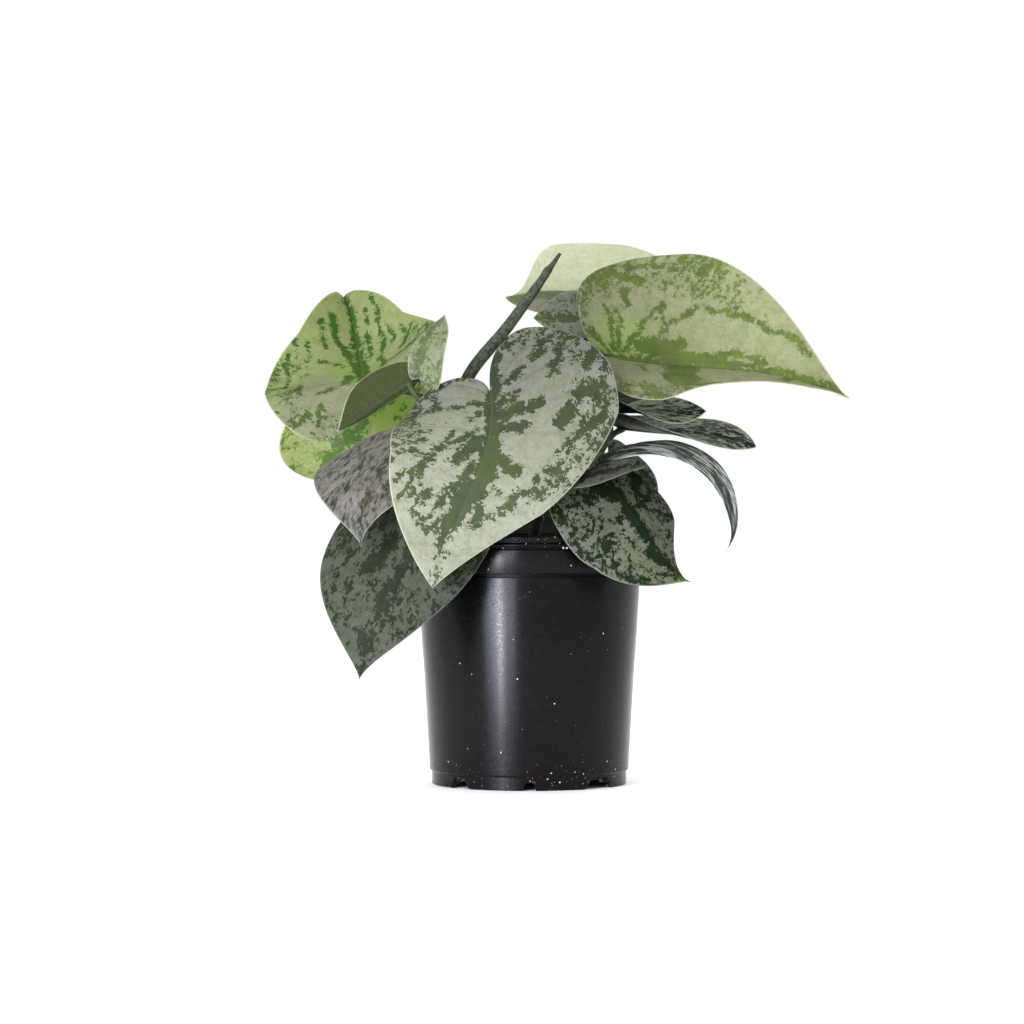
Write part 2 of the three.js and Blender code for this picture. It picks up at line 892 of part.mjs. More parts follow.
// ---------------------------------------------------------------- pot and soil
/** The pot's wall, outside then inside, as [radius, height]. */
function potProfile() {
  const inner = (radius) => radius - POT_WALL;
  return [
    [0, 0],
    [PAD_RADIUS, 0],
    [PAD_RADIUS + PAD_SLOPE, RECESS_HEIGHT],
    [FOOT_RADIUS - 3 * FOOT_WIDTH, RECESS_HEIGHT],
    [FOOT_RADIUS - FOOT_WIDTH, 1.2],
    [FOOT_RADIUS - FOOT_WIDTH, 0],
    [FOOT_RADIUS - 0.5, 0],
    [FOOT_RADIUS, 0.6],
    [FOOT_RADIUS, FOOT_HEIGHT],
    [BODY_LOW_RADIUS, FOOT_HEIGHT + 1.2],
    [BODY_TOP_RADIUS, GROOVE_HEIGHT],
    [BODY_TOP_RADIUS - 0.4, GROOVE_HEIGHT + 0.6],
    [BAND_RADIUS - 0.6, GROOVE_HEIGHT + 1.4],
    [BAND_RADIUS, BAND_TOP],
    [BAND_RADIUS - 1, BAND_TOP + 1.2],
    [BAND_RADIUS - 1, LIP_LOW - 0.8],
    [LIP_RADIUS - 0.1, LIP_LOW],
    [LIP_RADIUS, POT_HEIGHT - 1.2],
    [LIP_RADIUS - 0.8, POT_HEIGHT],
    [LIP_RADIUS - 1.8, POT_HEIGHT],
    [inner(BAND_RADIUS) - 0.6, POT_HEIGHT - 1.4],
    [inner(BAND_RADIUS) - 0.8, GROOVE_HEIGHT + 1],
    [inner(BODY_TOP_RADIUS), GROOVE_HEIGHT - 2],
    [inner(BODY_LOW_RADIUS), POT_FLOOR_TOP + 1.5],
    [inner(BODY_LOW_RADIUS) - 1.5, POT_FLOOR_TOP],
    [PAD_RADIUS - POT_WALL + PAD_SLOPE, POT_FLOOR_TOP],
    [PAD_RADIUS - POT_WALL, PAD_TOP],
    [0, PAD_TOP],
  ];
}

/** The pot, with drain notches cut through its foot ring. */
function potGeometry() {
  let pot = solidOf(turned(potProfile(), POT_SIDES));
  for (let i = 0; i < NOTCH_COUNT; i++) {
    const width = NOTCH_WIDTHS[i % NOTCH_WIDTHS.length];
    const height = NOTCH_HEIGHTS[i % NOTCH_HEIGHTS.length];
    const notch = new THREE.Shape([
      new THREE.Vector2(-width / 2, -1),
      new THREE.Vector2(width / 2, -1),
      new THREE.Vector2(width / 4, height),
      new THREE.Vector2(-width / 4, height),
    ]);
    const cutter = new THREE.ExtrudeGeometry(notch, { depth: 16, bevelEnabled: false });
    cutter.rotateX(Math.PI / 2);
    cutter.translate(0, 10 - FOOT_RADIUS, 0);
    cutter.rotateZ(degrees(NOTCH_START + (360 * i) / NOTCH_COUNT));
    pot = pot.subtract(solidOf(cutter));
  }
  return geometryOf(pot);
}

/** The soil: it fills the pot to a low mound, with a plain hole for each vine. */
function soilGeometry() {
  const wallAt = (height) =>
    THREE.MathUtils.mapLinear(height, POT_FLOOR_TOP, GROOVE_HEIGHT, BODY_LOW_RADIUS, BODY_TOP_RADIUS) -
    POT_WALL -
    GAP;
  const moundRadius = BAND_RADIUS - POT_WALL - 2;
  const mound = Array.from({ length: SOIL_RINGS }, (_, i) => {
    const share = 1 - i / SOIL_RINGS;
    return [share * moundRadius, SOIL_CROWN - (SOIL_CROWN - SOIL_EDGE) * share ** 2];
  });
  const profile = [
    [0, PAD_TOP + GAP],
    [PAD_RADIUS - POT_WALL - GAP, PAD_TOP + GAP],
    [PAD_RADIUS - POT_WALL - GAP + PAD_SLOPE, POT_FLOOR_TOP + GAP],
    [wallAt(POT_FLOOR_TOP) - 1.5, POT_FLOOR_TOP + GAP],
    [wallAt(POT_FLOOR_TOP) - 0.6, POT_FLOOR_TOP + 2.4],
    [wallAt(GROOVE_HEIGHT) - 0.6, GROOVE_HEIGHT - 3],
    ...mound,
    [0, SOIL_CROWN],
  ];
  let soil = solidOf(turned(profile, SOIL_SIDES));
  for (const vine of Object.values(VINES)) {
    const [x, y, z] = vine.path[0];
    const radius = (vine.radii[0] + GAP) / Math.cos(Math.PI / HOLE_SIDES);
    const hole = new THREE.CylinderGeometry(radius, radius, HOLE_LENGTH, HOLE_SIDES);
    hole.rotateX(Math.PI / 2);
    hole.translate(x, y, z - GAP + HOLE_LENGTH / 2);
    soil = soil.subtract(solidOf(hole));
  }
  return geometryOf(soil);
}

// ---------------------------------------------------------------- assembly
const plant = new THREE.Group();

function addPiece(name, geometry, colour, roughness) {
  const material = new THREE.MeshStandardMaterial({ color: colour, roughness, metalness: 0 });
  const mesh = new THREE.Mesh(geometry, material);
  mesh.name = name;
  plant.add(mesh);
}

addPiece("pot", potGeometry(), "#232327", 0.45);
addPiece("soil", soilGeometry(), "#3a2b22", 0.95);
for (const [name, vine] of Object.entries(VINES)) {
  addPiece(name, vineGeometry(vine), STEM_OLIVE, 0.6);
}
for (const [name, leaf] of Object.entries(LEAVES)) {
  const whole = { ...PLAIN_LEAF, ...leaf };
  addPiece(name, bladeGeometry(whole), whole.colour, 0.6);
}

export default plant;
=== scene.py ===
"""The looks of a satin pothos in its black nursery pot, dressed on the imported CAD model.

Sizes here are in millimetres and become metres where a mesh is made.
"""

import math

import bmesh
import bpy
import numpy as np
from mathutils import Matrix, Vector, noise


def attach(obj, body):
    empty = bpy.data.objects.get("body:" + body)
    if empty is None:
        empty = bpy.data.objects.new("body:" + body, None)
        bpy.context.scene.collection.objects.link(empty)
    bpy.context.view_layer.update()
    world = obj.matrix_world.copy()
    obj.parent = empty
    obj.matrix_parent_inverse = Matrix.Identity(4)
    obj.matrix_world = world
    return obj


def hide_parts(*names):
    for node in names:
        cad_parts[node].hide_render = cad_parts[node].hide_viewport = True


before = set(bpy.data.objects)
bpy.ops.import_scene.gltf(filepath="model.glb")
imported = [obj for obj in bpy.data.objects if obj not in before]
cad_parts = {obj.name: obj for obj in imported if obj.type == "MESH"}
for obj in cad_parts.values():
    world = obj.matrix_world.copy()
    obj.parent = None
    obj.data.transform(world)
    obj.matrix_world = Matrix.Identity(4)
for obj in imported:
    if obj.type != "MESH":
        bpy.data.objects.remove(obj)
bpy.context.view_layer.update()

MM = 0.001

# ---------------------------------------------------------------- camera
CAMERA_PLACE = (-9.4, -1814.0, 149.0)
SENSOR_WIDTH = 36.0
FRAME_PIXELS = 1024
FOCAL_PIXELS = 3298.0
NEAREST, FURTHEST = 50, 200000

# ---------------------------------------------------------------- lights
LAMPS = {
    "key": dict(
        place=(-613, -1036, 300), aim=(0, 0, 70), size=(700, 600), power=24, colour=(0.9, 0.9, 1.0)
    ),
    "strip": dict(
        place=(-600, -1014, 135), aim=(0, 0, 60), size=(70, 260), power=10, colour=(1.0, 0.86, 0.82),
        diffuse=False,
    ),
    "halo": dict(
        place=(-640, -1000, 200), aim=(0, 0, 60), size=(320, 380), power=12, colour=(0.5, 0.62, 1.0),
        diffuse=False,
    ),
    "back": dict(place=(150, 1300, 900), aim=(0, 0, 220), size=(1600, 1200), power=24, glossy=False),
}
CEILING_STRENGTH = 0.7
CEILING_SPREAD = 80

# ---------------------------------------------------------------- pot and soil
POT_HEIGHT = 136.8
POT_WALL = 1.6
POT_FLOOR_TOP = 8.2
PAD_RADIUS = 18.0
PAD_TOP = 1.8
PAD_SLOPE = 4.0
RECESS_HEIGHT = 5.6
FOOT_HEIGHT = 7.0
FOOT_RADIUS = 53.4
FOOT_WIDTH = 3.2
BODY_LOW_RADIUS = 54.6
BODY_TOP_RADIUS = 61.0
GROOVE_HEIGHT = 113.6
GROOVE_DEPTH = 1.3
GROOVE_MIDDLE = GROOVE_HEIGHT + 1.6
BAND_RADIUS = 62.4
BAND_TOP = 128.6
NECK = 1.2  # how far the neck below the lip is set in from the band
LIP_RADIUS = 63.4
LIP_LOW = 133.2
POT_SIDES = 240
POT_BEVEL = 0.35
POT_BEVEL_ANGLE = 24  # edges that turn by more are softened
POT_SHARP_ANGLE = 32
NOTCH_WIDTHS = (14, 8, 22, 8)
NOTCH_HEIGHTS = (5.8, 4.2, 5.8, 4.2)
NOTCH_START = -45.0
NOTCH_COUNT = 8
NOTCH_RUN = (-6, 10)  # from outside the foot ring to inside it
SOIL_EDGE = 123.0
SOIL_CROWN = 129.0
SOIL_RADIUS = BAND_RADIUS - POT_WALL - 2
SOIL_GAP = 0.3
SOIL_SIDES = 120
SOIL_RINGS = 34
SOIL_GRAIN = 5  # width of the bumps on the soil
SOIL_BUMP = 1.6  # their height
SOIL_BELOW_RIM = 2.5
CRUMB_REACH = 57  # of the crumbs from the axis
PLASTIC = ("#050506", "#0b0b0d")  # clean, and under a dusty film
SCUFF = "#5a585c"
DUST = "#c8bcae"
DRIED_SOIL = "#8d6a52"
CLEAN_HEIGHT = 70  # of the pot, halfway between its soiled foot and its soiled rim
CLEAN_REACH = (50, 66)
FLOOR_REACH = 30000.0
FLOOR_DROP = 0.05

# ---------------------------------------------------------------- leaves
BLADE_THICKNESS = 0.8
MESH_STEP = 1.1
SMALL_MESH = 0.75  # share of that step on the smallest blades
BLADE_REACHES = (60, 180)  # of the smallest and largest blades
LOBE_SHARE = 0.36  # of the rows of a blade that end in its basal lobes
ROW_SPACING = 1.7
SPINE_STEPS = 30
LOBE_STEPS = 6
CURL_STEPS = 6
HOOK_START = 0.85
SINUS_END = 0.3
SINUS_BOW = (-0.22, -0.2)  # of the rows near the sinus, outwards and forwards
FAN_BOW = (0.03, -0.07)  # of the other rows
PILLOW = 0.3  # height between two side veins
WAVE = 0.5  # height over a whole half
RIPPLE = 0.45  # height along the margin
MIDRIB_WIDTH = 1.3
MIDRIB_GROOVE = 0.5  # depth above
MIDRIB_RIDGE = 0.9  # height below

# A blade's sizes, for its left and right half where a key has two of them:
#   at               place of the sinus, where the petiole ends
#   heading, pitch   direction of the midrib there, in degrees from +X towards +Y and up
#   roll             turn of the blade about its midrib
#   length, half     from the sinus to the tip, and from the midrib to the widest place
#   lobe, lobe_at    how far a basal lobe reaches back, and how far out, as a share of half
#   widest           where the blade is widest, as a share of length
#   shoulder, taper  how full the margin is past the widest place, and how fast it closes at the tip
#   droop, sweep     bend of the midrib down and to the right, in its first and in its second half
#   hook             more droop, near the tip
#   twist            turn of the blade about its midrib from the sinus to the tip
#   lobe_droop       bend of the blade behind the sinus
#   fold             angle of a half at the midrib: at the sinus and at the tip
#   curl             how much that angle grows up to the margin: at the sinus and at the tip
# For the 18 leaves that show, most of these numbers were found by a program: a least-squares fit of this
# formula to outline points that were read in the photograph. They were rounded, and several were then
# changed. Those of the three leaf_back ones were chosen.
PLAIN_LEAF = dict(
    pitch=0, roll=0, lobe_at=0.45, widest=0.16, shoulder=(1.9, 1.9), taper=(1.2, 1.2), droop=(0, 0),
    sweep=(0, 0), hook=0, twist=0, lobe_droop=0, fold=((0, 0), (0, 0)), curl=((0, 0), (0, 0)),
)
LEAVES = {
    "leaf_front": dict(
        at=(-21, -46, 213), heading=-78, pitch=-49, length=118, half=(68, 53), lobe=(39, 13),
        lobe_at=0.34, widest=0.14, shoulder=(1.1, 2.6), taper=(1.1, 1.0), droop=(26, 10),
        sweep=(28, -7), hook=10, lobe_droop=-9, fold=((18, -7), (-9, 8)), curl=((3, 3), (-33, 6)),
    ),
    "leaf_right_top": dict(
        at=(46, 1, 234), heading=12, pitch=-8, roll=41, length=133, half=(71, 65), lobe=(21, 19),
        lobe_at=0.48, widest=0.25, taper=(1.6, 1.6), droop=(-21, 26), sweep=(18, -2), hook=5, twist=4,
        fold=((23, 31), (30, 31)), curl=((-10, 20), (-29, 23)),
    ),
    "leaf_crown": dict(
        at=(53, 65, 271), heading=184, pitch=12, roll=-31, length=67, half=(45, 51), lobe=(18, 33),
        lobe_at=0.5, widest=0.08, shoulder=(2.4, 7.4), taper=(0.8, 3.6), droop=(7, 22),
        sweep=(-10, 13), hook=-8, twist=11, lobe_droop=-12, fold=((8, -2), (13, -13)),
        curl=((-7, -15), (-5, 42)),
    ),
    "leaf_crown_low": dict(
        at=(33, 21, 257), heading=194, pitch=-1, roll=-53, length=31, half=(17, 20), lobe=(8, 8),
        taper=(1.0, 1.0), droop=(3, 1), sweep=(1, 6), fold=((6, -2), (0, 0)), curl=((8, 4), (0, 0)),
    ),
    "leaf_left_top": dict(
        at=(-92, 7, 222), heading=88, roll=-21, length=98, half=(54, 52), lobe=(39, 25), lobe_at=0.48,
        widest=-0.08, taper=(1.1, 1.1), droop=(-57, 29), sweep=(2, -6), hook=34, twist=21,
        lobe_droop=100, fold=((13, 52), (8, 44)), curl=((4, -8), (19, 30)),
    ),
    "leaf_left_narrow": dict(
        at=(-60, -31, 223.5), heading=82, pitch=98, roll=-22, length=42, half=(6, 20), lobe=(3, 9),
        lobe_at=0.5, taper=(1.15, 1.15), droop=(50, 10), sweep=(0, 1), twist=-12,
        fold=((30, 10), (9, 0)), curl=((0, 0), (21, 4)),
    ),
    "leaf_left_back": dict(
        at=(-72, 64, 217), heading=190, pitch=-35, roll=-59, length=83, half=(20, 33), lobe=(18, 18),
        lobe_at=0.44, widest=0.6, shoulder=(2.4, 2.4), taper=(1.1, 1.1), droop=(9, 82), sweep=(-7, -7),
        hook=10, twist=-24, fold=((9, 0), (-1, 18)), curl=((1, 0), (-14, 44)),
    ),
    "leaf_left_mid": dict(
        at=(-70, -40, 184), heading=-132, pitch=-39, roll=-16, length=68, half=(27, 42), lobe=(8, 13),
        lobe_at=0.29, widest=0.26, shoulder=(2.0, 2.0), taper=(1.8, 1.8), droop=(5, 41),
        sweep=(-9, -15), hook=7, lobe_droop=-5, fold=((-1, -3), (-6, 5)), curl=((-7, -8), (-24, 8)),
    ),
    "leaf_left_low": dict(
        at=(-46, -55, 157), heading=170, pitch=-58, roll=-70, length=108, half=(37, 57), lobe=(11, 15),
        lobe_at=0.26, widest=0.15, shoulder=(2.7, 2.7), taper=(1.45, 1.45), droop=(-13, 7),
        sweep=(-13, -7), hook=8, twist=-5, lobe_droop=-11, fold=((-5, 10), (-1, 10)),
        curl=((-20, 9), (-47, -4)),
    ),
    "leaf_left_rolled": dict(
        at=(-65, -30, 218), heading=192, pitch=-29, roll=121, length=51, half=(22, 3), lobe=(9, 5),
        droop=(8, 13), sweep=(14, -4), fold=((10, -1), (30, 30)), curl=((18, -1), (0, 0)),
    ),
    "leaf_right_low": dict(
        at=(42, -54, 163), heading=-18, pitch=-44, roll=36, length=69, half=(34, 39), lobe=(8, 22),
        lobe_at=0.49, widest=0.22, shoulder=(2.6, 2.6), taper=(1.7, 1.7), droop=(20, -1),
        sweep=(2, -32), hook=-20, twist=-6, fold=((-7, -22), (-14, -18)), curl=((-21, 44), (-22, -14)),
    ),
    "leaf_right_small": dict(
        at=(53, -67, 173), heading=179, pitch=-12, roll=-26, length=41, half=(20, 12), lobe=(8, 4),
        droop=(4, 1), fold=((11, -2), (0, 0)), curl=((17, -1), (0, 0)),
    ),
    "leaf_front_under": dict(
        at=(10, -29, 213), heading=-89, pitch=-61, roll=-20, length=61, half=(42, 26), lobe=(4, 10),
        widest=0.17, shoulder=(1.6, 1.6), taper=(1.1, 1.1), droop=(13, 6), sweep=(-4, 5),
        fold=((-9, 0), (0, 0)), curl=((-8, 2), (0, 0)),
    ),
    "leaf_right_rolled": dict(
        at=(50, 5, 205), heading=-14, pitch=-2, roll=7, length=48, half=(24, 25), lobe=(8, 8),
        widest=0.17, shoulder=(2.1, 2.1), taper=(0.9, 0.9), hook=-7, sweep=(-2, -5), twist=23,
        fold=((-14, 6), (2, -10)), curl=((39, 7), (44, 0)),
    ),
    "leaf_right_flat": dict(
        at=(53, 13, 196), heading=-11, pitch=-9, roll=11, length=75, half=(35, 34), lobe=(11, 10),
        widest=0.19, shoulder=(2.4, 2.4), taper=(0.9, 0.9), droop=(-7, 17), hook=-8, sweep=(3, 7),
        twist=13, fold=((3, 5), (15, -6)), curl=((-3, -17), (19, 31)),
    ),
    "leaf_right_strap": dict(
        at=(44, -30, 182), heading=-15, pitch=25, roll=5, length=106, half=(27, 21), lobe=(3, 3),
        widest=0.18, shoulder=(1.5, 1.5), droop=(61, 67), hook=16, sweep=(9, 1), twist=6,
        fold=((-2, 12), (-6, 3)), curl=((-14, 12), (-22, 12)),
    ),
    "leaf_right_inner": dict(
        at=(46, -8, 178), heading=-10, pitch=-53, roll=44, length=39, half=(23, 20), lobe=(10, 8),
        droop=(-7, 3), sweep=(2, 4), twist=3, fold=((-13, 2), (0, 0)), curl=((-18, 0), (0, 0)),
    ),
    "leaf_right_shade": dict(
        at=(42, 48, 213), heading=2, pitch=3, roll=19, length=38, half=(22, 22), lobe=(8, 8),
        droop=(2, 6),
    ),
    "leaf_back_left": dict(
        at=(-26, 56, 183), heading=128, pitch=-8, roll=-8, length=90, half=(38, 40), lobe=(16, 22),
        droop=(22, 30), sweep=(4, 4), hook=8, fold=((8, 10), (14, 10)), curl=((-14, 0), (-12, 0)),
    ),
    "leaf_back_mid": dict(
        at=(10, 70, 178), heading=74, pitch=-12, roll=-12, length=78, half=(36, 32), lobe=(15, 14),
        droop=(24, 26), sweep=(-4, 6), hook=10, fold=((12, 8), (16, 8)), curl=((-10, 0), (-16, 0)),
    ),
    "leaf_back_low": dict(
        at=(-8, 66, 152), heading=104, pitch=-38, roll=5, length=70, half=(32, 33), lobe=(15, 16),
        droop=(18, 16), sweep=(3, -6), hook=8, fold=((10, 6), (10, 6)), curl=((-12, 0), (-14, 0)),
    ),
}

# How each leaf looks. Colours are as the eye sees them (sRGB). The pattern is dark green on silver:
#   silver, dark     the two colours of the upper face
#   glow             the colours that light takes on when it comes through the silver and the dark
#   under            colour of the lower face
#   rib, rib_width   darkness along the midrib in mm of reach, and how far out it holds
#   lamina, margin   darkness in the middle of a half and at its margin: below 0 is silver with flecks
#   marks            dark (or, with a reach below 0, silver) strokes: x0, y0, x1, y1, reach, where x is
#                    to the right of the midrib and y is from the sinus towards the tip
#   band             share of the way out to the margin where the darkness changes
#   painted_light    painted light and shade: brightness at the lobes and near the tip
#   soft             half the width of the pattern's edge, in mm
#   vein, veins      how strongly the side veins show, and how many there are to a half
#   through          share of the light that passes through
#   ragged, wander   how torn the edges of the pattern are, and how far the marks stray, in mm
#   stretch          how much longer than wide the small patches are
#   halves           painted light and shade: brightness left and right of the midrib
#   gloss, line      how much the skin shines, and how plainly the midrib is drawn
#   mottle           how strongly the light that comes through is mottled
#   fresh            round fields (x, y, reach) of young yellow-green
#   painted_shadow   round fields (x, y, reach) of painted shadow: grey that light hardly enters
# A program first scaled silver, dark, glow and under of each leaf that shows by the ratio of photograph to
# render inside it. About half of those colours are still as it left them, and the rest were changed.
# So these colours hold painted light and shade besides each leaf's own colour: the lower and inner leaves
# are painted darker for the shade that falls on them.
PLAIN_LOOK = dict(
    silver="#a9ad98", dark="#4c5c40", glow=("#b0b890", "#5f7a40"), under="#8f9a74", rib=1.5,
    rib_width=3.0, lamina=-3.0, margin=-1.6, marks=(), band=0.7, painted_light=(1.0, 1.0), soft=0.15, vein=0.08,
    veins=9, through=0.35, ragged=1.0, wander=1.0, stretch=1.0, halves=(1.0, 1.0), gloss=0.16,
    line=0.3, mottle=1.0, fresh=(), painted_shadow=(),
)
